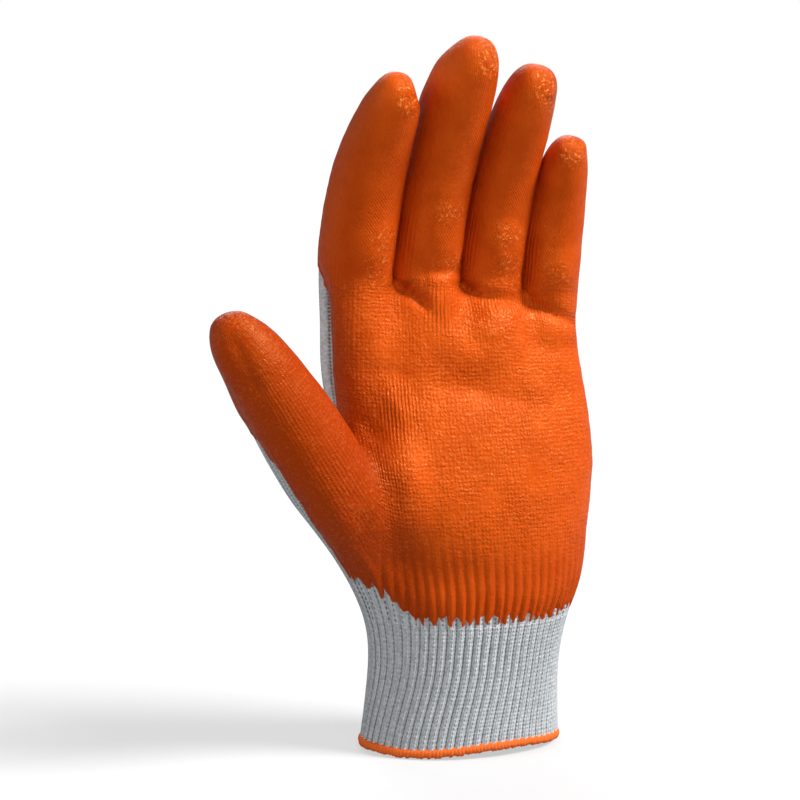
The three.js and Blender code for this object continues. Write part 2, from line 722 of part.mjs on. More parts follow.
// A point on the smooth wrist: the column is counted round it, the row up from the hem.
function wristPoint(rings, column, row) {
  const weights = (t) => [
    (1 - t) ** 3 / 6,
    (3 * t ** 3 - 6 * t ** 2 + 4) / 6,
    (-3 * t ** 3 + 3 * t ** 2 + 3 * t + 1) / 6,
    t ** 3 / 6,
  ];
  const count = rings[0].length;
  const atRow = (r, c) => {
    const ring = (c + count) % count;
    if (r >= 0) return rings[r][ring];
    return rings[0][ring].map((v, n) => 2 * v - rings[1][ring][n]);
  };
  const r = Math.min(Math.floor(row), CUFF_ROWS - 1);
  const c = Math.floor(column);
  const rowWeights = weights(row - r);
  const columnWeights = weights(column - c);
  const out = [0, 0, 0];
  for (let i = 0; i < 4; i++) {
    for (let j = 0; j < 4; j++) {
      const point = atRow(r - 1 + i, c - 1 + j);
      for (let a = 0; a < 3; a++) out[a] += rowWeights[i] * columnWeights[j] * point[a];
    }
  }
  return new THREE.Vector3(...out);
}

function wristNormal(rings, column, row) {
  const step = 0.01;
  const top = Math.min(row, CUFF_ROWS - step);
  const foot = Math.max(0, top - step);
  const around = wristPoint(rings, column + step, top).sub(wristPoint(rings, column - step, top));
  const up = wristPoint(rings, column, top + step).sub(wristPoint(rings, column, foot));
  return around.cross(up).normalize();
}

// A ring-shaped solid from loops of points, the last loop joined to the first.
function ringSolid(loops) {
  const count = loops[0].length;
  const index = [];
  for (let i = 0; i < loops.length; i++) {
    const next = (i + 1) % loops.length;
    for (let k = 0; k < count; k++) {
      const j = (k + 1) % count;
      const a = i * count + k;
      const b = i * count + j;
      const c = next * count + j;
      const d = next * count + k;
      index.push(a, b, c, a, c, d);
    }
  }
  const geometry = new THREE.BufferGeometry();
  const flat = loops.flat().flatMap((p) => p.toArray());
  geometry.setAttribute("position", new THREE.Float32BufferAttribute(flat, 3));
  geometry.setIndex(index);
  return geometry;
}

// The row at which the wrist's surface has this height.
function rowAtHeight(rings, column, height) {
  let low = 0;
  let high = CUFF_ROWS;
  for (let i = 0; i < 30; i++) {
    const middle = (low + high) / 2;
    if (wristPoint(rings, column, middle).z < height) low = middle;
    else high = middle;
  }
  return (low + high) / 2;
}

// The ribbed cuff: the outside rises and falls from rib to groove, the inside is plain.
function cuffSolid(rings) {
  const columns = 2 * RIB_COUNT;
  const count = rings[0].length;
  const bottom = HEM_HEIGHT + FIT_GAP;
  const shares = [0, 0.17, 0.34, 0.5, 0.67, 0.84, 1];
  const loop = (share, outside) => {
    const points = [];
    for (let k = 0; k < columns; k++) {
      const column = (count * k) / columns;
      const low = rowAtHeight(rings, column, bottom);
      const row = lerp(low, CUFF_ROWS, share);
      const depth = outside ? RIB_DEPTH * (k % 2) : KNIT_WALL + RIB_DEPTH;
      const point = wristPoint(rings, column, row);
      const normal = wristNormal(rings, column, row);
      if (share === 0) normal.setZ(0).normalize();
      point.addScaledVector(normal, -depth);
      if (share === 1) point.z -= FIT_GAP / 2;
      points.push(point);
    }
    return points;
  };
  const outer = shares.map((share) => loop(share, true));
  const inner = shares.filter((_, i) => i % 2 === 0).map((share) => loop(share, false));
  return ringSolid(outer.concat(inner.reverse()));
}

// The stitched hem: a rounded band below the cuff's edge, raised and lowered by its stitches.
function hemSolid(rings) {
  const columns = 2 * RIB_COUNT;
  const count = rings[0].length;
  const half = HEM_THICKNESS / 2;
  const centre = (KNIT_WALL + RIB_DEPTH) / 2;
  // Across the band as a share of half its thickness, up as a share of its height, and the
  // share of the stitches' relief that shows there.
  const section = rows(["across", "up", "relief"], [
    [0.45, 0.0, 0],
    [1.0, 0.3, 1],
    [1.0, 0.75, 1],
    [0.6, 1.0, 0],
    [-0.6, 1.0, 0],
    [-1.0, 0.6, 0],
    [-0.45, 0.0, 0],
  ]);
  const loops = section.map((corner) => {
    const points = [];
    for (let k = 0; k < columns; k++) {
      const column = (count * k) / columns;
      const foot = wristPoint(rings, column, 0);
      const normal = wristNormal(rings, column, 0).setZ(0).normalize();
      const relief = STITCH_RELIEF * corner.relief * (k % 2);
      foot.addScaledVector(normal, corner.across * half - centre - relief);
      foot.z = corner.up * HEM_HEIGHT;
      points.push(foot);
    }
    return points;
  });
  return ringSolid(loops);
}

function mesh(name, geometry, color, roughness) {
  geometry.deleteAttribute("normal");
  geometry.deleteAttribute("uv");
  const merged = mergeVertices(geometry, 1e-4);
  merged.computeVertexNormals();
  const material = new THREE.MeshStandardMaterial({ color, roughness, metalness: 0 });
  const part = new THREE.Mesh(merged, material);
  part.name = name;
  return part;
}

const { cage, rings } = buildCage();
const { surface, outward } = smoothSurface(cage);
const hand = handTriangles(cage, surface, outward);
const covered = coveredTriangles(hand);

const glove = new THREE.Group();
glove.name = "latex_grip_glove";
glove.add(mesh("knit_hand", shell(hand.vertices, hand.triangles, -KNIT_WALL, 0), KNIT_GREY, 0.9));
glove.add(mesh("rib_cuff", cuffSolid(rings), CUFF_GREY, 0.92));
const latex = shell(covered.vertices, covered.triangles, FIT_GAP, FIT_GAP + LATEX_WALL);
glove.add(mesh("latex_coating", latex, LATEX_ORANGE, 0.42));
glove.add(mesh("overlock_hem", hemSolid(rings), HEM_ORANGE, 0.85));

export default glove;
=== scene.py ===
# %% [markdown]
# # A latex coated grip glove
#
# The real glove is a seamless knitted liner whose palm, fingertips and thumb were dipped in
# liquid latex. The packed CAD part gives its exact form: a hand, a ribbed cuff, the latex skin
# and the stitched hem. This lesson rebuilds the same smooth surface with numpy, adds the
# ribs, wales, folds and crinkles that are too fine for the CAD part, and gives each piece a
# material that follows the stitches.

import bpy
import numpy as np
from mathutils import Matrix


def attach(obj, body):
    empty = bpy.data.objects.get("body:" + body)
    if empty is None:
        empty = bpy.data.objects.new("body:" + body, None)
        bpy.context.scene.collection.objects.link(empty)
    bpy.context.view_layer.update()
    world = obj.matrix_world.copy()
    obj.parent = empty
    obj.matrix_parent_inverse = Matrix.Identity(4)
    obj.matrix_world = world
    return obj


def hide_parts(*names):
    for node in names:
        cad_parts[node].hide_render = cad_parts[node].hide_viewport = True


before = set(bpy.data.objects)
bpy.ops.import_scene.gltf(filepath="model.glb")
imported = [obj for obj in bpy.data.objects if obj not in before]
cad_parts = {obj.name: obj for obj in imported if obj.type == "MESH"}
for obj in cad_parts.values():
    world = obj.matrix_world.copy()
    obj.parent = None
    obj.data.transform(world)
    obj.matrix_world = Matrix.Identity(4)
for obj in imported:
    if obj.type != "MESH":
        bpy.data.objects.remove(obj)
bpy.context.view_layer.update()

# %% [markdown]
# ## Sizes
#
# A glove that is drawn from a few named sizes can be checked against a ruler. These are the
# CAD part's own sizes, in millimetres, because the pieces made here have to lie where its
# solids lie. Everything is worked out in millimetres and becomes metres when a mesh is made.

# %% Named sizes
MM = 0.001
ROOT_HEIGHT = 165.0
PALM_WIDTH = 94.0
PALM_DEPTH = 40.0
FINGER_WIDTH = 21.4
FINGER_DEPTH = 24.0
FINGER_LENGTH = 87.0
FINGER_SPACING = 3.4
CROTCH_SINK = 1.0
BACK_SINK = 6.0
THUMB_WIDTH = 25.5
THUMB_LENGTH = 106.0
KNIT_WALL = 1.5
HEM_HEIGHT = 2.4
HEM_THICKNESS = 2.8
RIB_COUNT = 60
RIB_DEPTH = 0.7
PALM_HOLLOW = 2.5
ROOT_CREASE = 2.4
ROOT_PAD = 1.2
LATEX_LOW_POINT = 43.0
LATEX_LOW_X = 8.0
LATEX_SIDE_RISE = 17.2
LATEX_SIDE_INSET = 2.0
COURSE = 1.48  # height of one row of stitches
WALES_PER_COLUMN = 2  # stitches across one column of the cage
print("palm", PALM_WIDTH, "mm wide, finger roots", ROOT_HEIGHT, "mm above the hem")

# %% [markdown]
# ## Tables
#
# A hand has no formula, but it has rhythm: each finger is the same tube with its own width,
# length and lean, and the palm is a stack of ovals. Short tables with named columns hold
# what was judged, as shares of the sizes above, and the functions do the rest.

# %% Tables of the fingers
def columns(names, rows):
    """One array for each named column of a table."""
    return dict(zip(names.split(), np.array(rows, float).T))


FINGERS = columns(
    "width depth length drop tip lean lean_more pitch curl tongue",
    [
        [1.1, 1.04, 0.85, 0.0, 0.86, 2.5, 13, 12, 26, 0.66],
        [0.95, 1.0, 0.99, 0.0, 1.06, 3.0, 9.5, 10, 26, 0.7],
        [0.87, 0.96, 0.89, 0.008, 1.04, 3.5, 7.5, 9.5, 26, 0.67],
        [0.84, 0.86, 0.645, 0.04, 0.86, 1.0, 0, 9, 25, 0.57],
    ],
)
PROFILE = columns(
    "along width depth",
    [
        [0.12, 1.0, 0.99],
        [0.26, 1.01, 0.98],
        [0.4, 1.02, 0.98],
        [0.54, 1.01, 0.96],
        [0.66, 0.97, 0.92],
        [0.77, 0.91, 0.86],
        [0.86, 0.81, 0.77],
        [0.93, 0.66, 0.63],
        [0.98, 0.43, 0.41],
    ],
)
print("fingers:", len(FINGERS["width"]), "rings on each:", len(PROFILE["along"]))

# %% [markdown]
# The palm's table goes up from the hem. Its last three columns say how far a ring's points
# stand below the fingers, how far it bends with their roots, and how square its oval is.

# %% Tables of the palm
PALM = columns(
    "height width depth shift_x shift_y follow scallop square",
    [
        [0.0, 0.762, 1.2, 0.0, 0.0, 0.0, 0.0, 0.0],
        [0.1, 0.73, 1.18, 0.008, 0.0, 0.0, 0.0, 0.0],
        [0.2, 0.717, 1.16, 0.016, -0.01, 0.05, 0.0, 0.0],
        [0.279, 0.755, 1.14, 0.03, -0.02, 0.15, 0.0, 0.01],
        [0.352, 0.838, 1.12, 0.03, -0.03, 0.3, 0.0, 0.02],
        [0.426, 0.909, 1.1, 0.006, -0.04, 0.5, 0.0, 0.035],
        [0.5, 0.966, 1.06, -0.01, -0.045, 0.7, 0.0, 0.05],
        [0.573, 1.002, 1.02, -0.025, -0.045, 0.85, 0.0, 0.06],
        [0.648, 1.021, 0.96, -0.037, -0.04, 1.0, 0.0, 0.07],
        [0.724, 1.01, 0.9, -0.046, -0.03, 1.0, 0.05, 0.085],
        [0.805, 0.992, 0.82, -0.051, -0.015, 1.0, 0.25, 0.1],
        [0.9, 0.977, 0.74, -0.051, 0.0, 1.0, 0.6, 0.115],
    ],
)
ROOT_SHIFT_X = -0.051
CUFF_ROWS = 3
SCALLOP_DROP = 0.8
SCALLOP_FRONT = 0.4
HOLLOW_SPOT = {"height": 0.65, "height_reach": 0.25, "x": 0.053, "x_reach": 0.404}
PAD_BAND = {"height": 0.9, "height_reach": 0.1}
print("palm rings:", len(PALM["height"]) + 1)

# %% [markdown]
# The thumb leaves the palm through a hole in its rows and columns, and follows a curve. The
# last columns of its table are the angles, from its pad, at which the latex ends. A few
# numbers for the whole cage come after it.

# %% Tables of the thumb
HOLE = {"row_low": 4, "row_high": 8, "column_low": -2, "column_high": 3}
THUMB_START = np.array([-0.277 * PALM_WIDTH, -0.085 * PALM_WIDTH, 0.436 * ROOT_HEIGHT])
THUMB_PATH = THUMB_START + THUMB_LENGTH * np.array(
    [[0.0, 0.0, 0.0], [-0.236, -0.132, 0.198], [-0.382, -0.208, 0.472], [-0.585, -0.226, 0.778]]
)
THUMB_PAD = np.array([0.45, -0.85, 0.0])
THUMB = columns(
    "along width depth round outer inner",
    [
        [0.26, 1.6, 1.35, 0.35, 84, -120],
        [0.38, 1.4, 1.22, 0.65, 84, -128],
        [0.5, 1.22, 1.12, 0.9, 88, -130],
        [0.62, 1.08, 1.05, 1.0, 104, -138],
        [0.73, 0.98, 0.95, 1.0, 150, -165],
        [0.83, 0.88, 0.84, 1.0, 220, -220],
        [0.91, 0.74, 0.69, 1.0, 260, -260],
        [0.965, 0.5, 0.47, 1.0, 300, -300],
    ],
)
TONGUE = {"angle": 52, "crotch_angle": 14, "crotch_fade": 0.12, "bluntness": 0.3}
ROOT_FADE, SLIM_FROM, SLIM_TO, DOME_RISE = 0.3, 0.2, 0.9, 1.1
FRONT, SIDE = 4, 2
RING = 2 * (FRONT + SIDE)
WEB_ROUNDS, WEB_REACH, WEB_PULL = 7, 24.0, 0.75
print("thumb rings:", len(THUMB["along"]) + 1)

# %% [markdown]
# ## The cage: palm and finger roots
#
# A smooth hand could be sculpted, or blended from tubes. Here it is one net of four-sided
# cells, as a modeller would box it out: rings of points round the wrist and palm, whose top
# ring splits into four finger rings. Each point carries a fourth number, its cover: how many
# millimetres it lies inside the latex. Smoothing the net smooths the latex edge with it.

# %% Small helpers
def ease(t):
    """0 below 0, 1 above 1, and a smooth step between: 3 t squared less 2 t cubed."""
    t = np.clip(t, 0, 1)
    return t * t * (3 - 2 * t)


def bump_at(value, centre, reach):
    """A hill of height 1 at the centre, gone at the reach on both sides."""
    return ease(1 - np.abs(value - centre) / reach)


def draw_gain(count):
    """How far control points stand outside the smooth circle that they draw."""
    return 6 / (4 + 2 * np.cos(2 * np.pi / count))


def unit(vectors):
    """Each vector divided by its own length."""
    return vectors / np.maximum(np.linalg.norm(vectors, axis=-1, keepdims=True), 1e-12)


print("twelve control points stand outside their circle by", round(draw_gain(RING), 3))

# %% [markdown]
# A ring of twelve points goes round each finger where it leaves the palm. Its sides sink to
# the crotches and its back sinks further, as the knuckles slope. Neighbours share the height
# of the points between them, so that a web can join them.

# %% Places of the finger roots
ring_angle = (np.arange(RING) - FRONT / 2) / RING * 2 * np.pi
ring_side, ring_front = np.sin(ring_angle), np.cos(ring_angle)
root_half = FINGER_WIDTH * FINGERS["width"] / 2
root_deep = FINGER_DEPTH * FINGERS["depth"] / 2
root_total = 2 * root_half.sum() + (len(root_half) - 1) * FINGER_SPACING
root_steps = np.concatenate([[0], np.cumsum(2 * root_half + FINGER_SPACING)[:-1]])
root_x = ROOT_SHIFT_X * PALM_WIDTH - root_total / 2 + root_steps + root_half
root_z = ROOT_HEIGHT * (1 - FINGERS["drop"])
print("finger roots at", np.round(root_x, 1), "mm across")

# %% [markdown]
# On the back of a finger the liner stays bare in the shape of a tongue. It could be cut out
# later with a curve. As a cover number, its edge is smoothed together with the finger.

# %% Finger roots and their cover
def finger_cover(finger, along):
    """Cover round a finger: the arc from the edge of the bare tongue on its back, plus the
    distance past the tongue's end."""
    from_back = np.abs(np.pi - np.mod(ring_angle, 2 * np.pi))
    tongue_end = FINGERS["tongue"][finger]
    left = np.clip(1 - along / tongue_end, 0, 1)[..., None]
    crotch = TONGUE["crotch_angle"] * np.clip(1 - along / TONGUE["crotch_fade"], 0, 1)[..., None]
    tongue = np.radians(TONGUE["angle"] + crotch) * left ** TONGUE["bluntness"]
    tongue = np.where(left > 0, tongue, 0)
    past = np.maximum(0, along - tongue_end) * FINGER_LENGTH * FINGERS["length"][finger]
    return (from_back - tongue) * root_half[finger] + past[..., None]


def finger_root(finger):
    """A ring of points round one finger's root, sunk at its sides and its back."""
    gain = draw_gain(RING)
    sink = CROTCH_SINK * ring_side**2 + BACK_SINK * (1 - ring_front) / 2
    x = root_x[finger] + root_half[finger] * gain * ring_side
    y = -root_deep[finger] * gain * ring_front + ROOT_CREASE * np.clip(ring_front, 0, 1)
    cover = finger_cover(finger, np.zeros(1))[0]
    return np.stack([x, y, root_z[finger] - sink, cover], -1)


roots = np.stack([finger_root(i) for i in range(len(root_half))])
for s in range(SIDE + 1):
    right, left = FRONT + s, (RING - s) % RING
    shared = (roots[:-1, right, 2] + roots[1:, left, 2]) / 2
    roots[:-1, right, 2] = shared
    roots[1:, left, 2] = shared
print("finger root rings:", roots.shape)

# %% [markdown]
# The palm could be lofted between a wrist and a hand section. Here twelve rings follow a
# table, the upper ones bend towards the row of finger roots, and that row is the last ring.

# %% Palm rings
fingers_up = np.arange(4)
front_k, back_k = np.arange(FRONT + 1), np.arange(FRONT + SIDE, 2 * FRONT + SIDE + 1)
top_finger = np.concatenate(
    [[0], np.repeat(fingers_up, FRONT + 1), [3], np.repeat(fingers_up[::-1], FRONT + 1)]
)
top_k = np.concatenate([[RING - 1], np.tile(front_k, 4), [FRONT + 1], np.tile(back_k, 4)])
PALM_COLUMNS = len(top_k)
top_ring = roots[top_finger, top_k]


def even_angles(count):
    """Angles that stand evenly along the wrist's oval, by its summed arc length."""
    a = np.linspace(-np.pi, np.pi, 2001)
    x = np.cos(a) * PALM_WIDTH * PALM["width"][2]
    y = np.sin(a) * PALM_DEPTH * PALM["depth"][2]
    arc = np.concatenate([[0], np.cumsum(np.hypot(np.diff(x), np.diff(y)))])
    return np.interp(arc[-1] * np.arange(count) / count, arc, a)


print("angles of the wrist's columns run from", np.round(even_angles(PALM_COLUMNS)[[0, -1]], 2))

# %% [markdown]
# The palm side is a little hollow, with soft pads below the fingers. The latex ends over the
# wrist in a curve, low in the middle and higher at both sides.

# %% The palm's points
def palm_rings():
    """Rings of points: rounded ovals whose columns drift from even spacing to stand below
    the fingers, and whose upper rings follow the row of finger roots."""
    c = np.arange(PALM_COLUMNS)
    reach = root_total / 2 + (draw_gain(RING) - 1) * root_half[0]
    across = np.clip((top_ring[:, 0] - ROOT_SHIFT_X * PALM_WIDTH) / reach, -1, 1)
    below = np.where(c < PALM_COLUMNS / 2, -np.arccos(across), np.arccos(across))
    below[0], below[PALM_COLUMNS // 2] = -np.pi, 0
    row = {name: values[:, None] for name, values in PALM.items()}
    angle = even_angles(PALM_COLUMNS) * (1 - row["follow"]) + below * row["follow"]
    gain = draw_gain(PALM_COLUMNS)

    def rounded(wave):
        """The wave raised to a power just under 1, which squares the oval a little."""
        return np.sign(wave) * np.abs(wave) ** (1 - row["square"])

    x = PALM_WIDTH * row["width"] * gain * rounded(np.cos(angle)) / 2
    y = PALM_DEPTH * row["depth"] * gain * rounded(np.sin(angle)) / 2
    z = row["height"] * ROOT_HEIGHT + 0 * x
    frontness = np.clip(-np.sin(angle), 0, 1) ** 2
    spot = HOLLOW_SPOT
    hollow = bump_at(row["height"], spot["height"], spot["height_reach"])
    hollow = hollow * bump_at(x / PALM_WIDTH, spot["x"], spot["x_reach"])
    pad = bump_at(row["height"], PAD_BAND["height"], PAD_BAND["height_reach"])
    px = x + row["shift_x"] * PALM_WIDTH
    py = y + row["shift_y"] * PALM_WIDTH + frontness * (PALM_HOLLOW * hollow - ROOT_PAD * pad)
    edge = LATEX_LOW_POINT + LATEX_SIDE_RISE * ((px - LATEX_LOW_X) / (PALM_WIDTH / 2)) ** 2
    cover = np.minimum(-y - LATEX_SIDE_INSET, z - edge)
    flow = row["scallop"] * (1 + (SCALLOP_FRONT - 1) * frontness)
    px = px + (top_ring[:, 0] - px) * row["scallop"]
    py = py + (top_ring[:, 1] - py) * flow
    z = z + (top_ring[:, 2] - ROOT_HEIGHT) * row["scallop"] * SCALLOP_DROP
    return np.concatenate([np.stack([px, py, z, cover], -1), top_ring[None]])


palm = palm_rings()
print("palm rings:", palm.shape)

# %% [markdown]
# ## The cage: fingers and thumb
#
# Each finger is the same ring of points carried along a line that leans sideways and curls
# forward. The thumb leaves the palm through a hole in the net: its first rings keep the
# hole's shape and the later ones become oval, so the web between them is one smooth skin.

# %% Finger tubes
def finger_line(finger, along):
    """Centre, along, side and front directions of a finger at the given shares of its
    length: short steps added up, turning forward by pitch and curl and sideways by lean."""
    f = {name: values[finger] for name, values in FINGERS.items()}

    def heading(share):
        """The finger's direction at a share of its length, and its sideways lean."""
        forward = np.radians(f["pitch"]) + np.radians(f["curl"]) * ease((share - 0.05) / 0.9)
        aside = np.radians(f["lean"]) + np.radians(f["lean_more"]) * share
        way = [np.sin(aside) * np.cos(forward), -np.sin(forward), np.cos(aside) * np.cos(forward)]
        return np.stack(way, -1), aside

    steps = along[:, None] * (np.arange(24) + 0.5) / 24
    ways, _ = heading(steps)
    centre = np.array([root_x[finger], 0, root_z[finger]])
    centre = centre + ways.sum(1) * (along * FINGER_LENGTH * f["length"] / 24)[:, None]
    tangent, aside = heading(along)
    tangent = unit(tangent)
    side = np.stack([np.cos(aside), 0 * aside, -np.sin(aside)], -1)
    side = unit(side - (side * tangent).sum(-1, keepdims=True) * tangent)
    front = np.cross(side, tangent)
    front = np.where(front[:, 1:2] > 0, -front, front)
    return centre, tangent, side, front


def finger_tube(finger):
    """Rings of points up a finger: width and depth from the profile, times the ring's sine
    and cosine, round the finger's line."""
    along = PROFILE["along"]
    centre, tangent, side, front = finger_line(finger, along)
    slim = 1 + (FINGERS["tip"][finger] - 1) * ease((along - SLIM_FROM) / (SLIM_TO - SLIM_FROM))
    fade = np.maximum(0, 1 - along / ROOT_FADE)
    gain = draw_gain(RING)
    wide = root_half[finger] * PROFILE["width"] * slim * gain
    deep = root_deep[finger] * PROFILE["depth"] * slim * gain
    points = centre[:, None] + side[:, None] * (wide[:, None] * ring_side)[..., None]
    points = points + front[:, None] * (deep[:, None] * ring_front)[..., None]
    slant = fade[:, None] * (roots[finger, :, 2] - root_z[finger])
    points = points + tangent[:, None] * slant[..., None]
    return np.concatenate([points, finger_cover(finger, along)[..., None]], -1)


print("middle fingertip at", np.round(finger_line(1, np.ones(1))[0][0], 1), "mm")

# %% [markdown]
# The thumb's rings start in the hole's own shape and turn into ovals round a curve. Its
# cover counts the way round from the pad, which makes the latex band and the bare outside.

# %% Thumb tube
def thumb_line(along):
    """Centre and directions on the thumb's curve, a cubic through four control points."""
    t = np.atleast_1d(along)[:, None]
    p = THUMB_PATH
    centre = (1 - t) ** 3 * p[0] + 3 * t * (1 - t) ** 2 * p[1]
    centre = centre + 3 * t**2 * (1 - t) * p[2] + t**3 * p[3]
    tangent = (1 - t) ** 2 * (p[1] - p[0]) + 2 * t * (1 - t) * (p[2] - p[1]) + t**2 * (p[3] - p[2])
    tangent = unit(tangent)
    front = unit(THUMB_PAD - (tangent @ THUMB_PAD)[:, None] * tangent)
    return centre, tangent, unit(np.cross(front, tangent)), front


def thumb_tube(hole):
    """Rings of points up the thumb: the hole's shape, flattened across the thumb's line and
    mixed with an oval by the table's column round."""
    count = len(hole)
    middle = hole.mean(0)
    away = hole - middle
    centre, tangent, side, front = thumb_line(THUMB["along"])
    turned = np.unwrap(np.arctan2(away @ front[0], away @ side[0]))
    sense = np.sign(turned[-1] - turned[0])
    angle = turned.mean() + sense * (np.arange(count) - (count - 1) / 2) * 2 * np.pi / count
    gain = draw_gain(count)
    wide = THUMB_WIDTH * THUMB["width"] * gain / 2
    deep = THUMB_WIDTH * THUMB["depth"] * gain / 2
    oval = centre[:, None] + side[:, None] * (wide[:, None] * np.cos(angle))[..., None]
    oval = oval + front[:, None] * (deep[:, None] * np.sin(angle))[..., None]
    flat = away - (away @ tangent.T).T[..., None] * tangent[:, None] + centre[:, None]
    points = flat + (oval - flat) * THUMB["round"][:, None, None]
    from_pad = np.mod(270 - np.degrees(angle), 360) - 180
    cover = np.minimum(THUMB["outer"][:, None] - from_pad, from_pad - THUMB["inner"][:, None])
    return np.concatenate([points, (np.radians(cover) * wide[:, None])[..., None]], -1)


print("thumb tip at", np.round(thumb_line(1.0)[0][0], 1), "mm")

# %% [markdown]
# ## Joining the cage
#
# The net is kept as plain arrays: points, cells of four corners, a label for each cell, and
# at each corner the stitch it stands on, counted in wales round the hand and courses up it.
# Those counts become the UV map, so a material can draw every stitch where the knitting
# machine put it.

# %% The net
class Net:
    """Points, four-cornered cells, the stitch at each corner and a label for each cell."""

    def __init__(self):
        self.points, self.cells, self.stitches, self.labels = [], [], [], []

    def add(self, points):
        """Adds points and returns their numbers in the shape that they came in."""
        start = sum(len(p) for p in self.points)
        self.points.append(points.reshape(-1, 4))
        return np.arange(start, start + points.size // 4).reshape(points.shape[:-1])

    def grid(self, ids, u, v, label):
        """Cells between rows of point numbers, with the wale of each column and the course
        of each row. Cells with a missing corner are left out."""
        quads = np.stack([ids[:-1, :-1], ids[:-1, 1:], ids[1:, 1:], ids[1:, :-1]], -1)
        u, v = np.broadcast_to(u, ids.shape), np.broadcast_to(v, ids.shape)
        at = np.stack([u, v], -1).astype(float)
        corners = np.stack([at[:-1, :-1], at[:-1, 1:], at[1:, 1:], at[1:, :-1]], -2)
        whole = (quads >= 0).all(-1)
        self.cells.append(quads[whole])
        self.stitches.append(corners[whole])
        self.labels.append(np.broadcast_to(label, whole.shape)[whole])

    def arrays(self):
        """Points, cells, stitches and labels, each as one array."""
        return [np.concatenate(x) for x in (self.points, self.cells, self.stitches, self.labels)]


net = Net()
print("net started with", len(net.points), "points")

# %% [markdown]
# A fingertip could end in one point, but all cells would pinch together there. A small grid
# of four-sided cells, domed towards the tip, closes it as evenly as the rest.

# %% Closing a tip
TIP_COURSES = 1.5  # courses to each row of cells that closes a tip


def close_tip(net, ring, across, deep, tip, u, v, label):
    """Closes a ring with a grid of cells: the grid's inside is the blend of its four edges,
    lifted towards the tip by a dome."""
    grid = np.full((deep + 1, across + 1), -1)
    grid[0, :] = ring[: across + 1]
    grid[deep, ::-1] = ring[across + deep : 2 * across + deep + 1]
    grid[1:deep, across] = ring[across + 1 : across + deep]
    grid[deep - 1 : 0 : -1, 0] = ring[2 * across + deep + 1 :]
    known = np.concatenate(net.points)
    edge = np.where((grid >= 0)[..., None], known[np.maximum(grid, 0)], 0)
    b, a = np.meshgrid(np.arange(deep + 1) / deep, np.arange(across + 1) / across, indexing="ij")
    a, b = a[..., None], b[..., None]
    sides = (1 - b) * edge[:1] + b * edge[-1:] + (1 - a) * edge[:, :1] + a * edge[:, -1:]
    corners = (1 - a) * (1 - b) * edge[0, 0] + a * (1 - b) * edge[0, -1]
    corners = corners + (1 - a) * b * edge[-1, 0] + a * b * edge[-1, -1]
    rise = DOME_RISE * (1 - ((2 * a - 1) ** 2 + (2 * b - 1) ** 2) / 2)
    inside = sides - corners + (tip - known[ring].mean(0)) * rise
    grid[1:-1, 1:-1] = net.add(inside[1:-1, 1:-1])
    tip_wale = u + WALES_PER_COLUMN * np.arange(across + 1)
    tip_course = v + TIP_COURSES * np.arange(deep + 1)
    net.grid(grid, tip_wale[None], tip_course[:, None], label)


# %% [markdown]
# The palm's rings become cells first. The lowest three rows of cells belong to the cuff, and
# the cells where the thumb leaves are left out.

# %% The palm on the net
LABEL = {"cuff": 0, "palm": 1, "index": 2, "middle": 3, "ring": 4, "little": 5, "thumb": 6}
FINGER_NAMES = ("index", "middle", "ring", "little")
hole_r = slice(HOLE["row_low"] + 1, HOLE["row_high"])
hole_c = np.arange(HOLE["column_low"] + 1, HOLE["column_high"]) % PALM_COLUMNS
keep = np.ones(palm.shape[:2], bool)
keep[hole_r, hole_c] = False
palm_ids = np.full(palm.shape[:2], -1)
palm_ids[keep] = net.add(palm[keep])
palm_course = np.append(PALM["height"], 1.0) * ROOT_HEIGHT / COURSE
around = np.concatenate([palm_ids, palm_ids[:, :1]], 1)
palm_wale = WALES_PER_COLUMN * np.arange(PALM_COLUMNS + 1)
row_label = np.where(np.arange(len(palm) - 1) < CUFF_ROWS, LABEL["cuff"], LABEL["palm"])
net.grid(around, palm_wale[None], palm_course[:, None], row_label[:, None])
print("palm cells:", len(net.cells[0]))

# %% [markdown]
# Between two fingers a small web of cells joins their rings, as the knit does in the crotch.
# Front and back of a finger carry on the wales of the palm and of the hand's back.

# %% Fingers and webs on the net
CELLS_PER_FINGER = FRONT + 1  # columns of the palm's top ring to each finger
finger_ids = np.full((4, RING), -1)
finger_ids[top_finger, top_k] = palm_ids[-1]
for i in range(3):
    for s in range(1, SIDE):
        finger_ids[i, FRONT + s] = net.add(roots[i, FRONT + s][None])[0]
        finger_ids[i + 1, RING - s] = net.add(roots[i + 1, RING - s][None])[0]
    next_side = [0, *range(RING - 1, RING - SIDE - 1, -1)]
    web = np.stack([finger_ids[i, FRONT : FRONT + SIDE + 1], finger_ids[i + 1, next_side]], 1)
    web_wale = WALES_PER_COLUMN * (CELLS_PER_FINGER * (i + 1) + np.array([[0, 1]]))
    net.grid(web, web_wale, palm_course[-1] + 2 * np.arange(SIDE + 1)[:, None], LABEL["palm"])

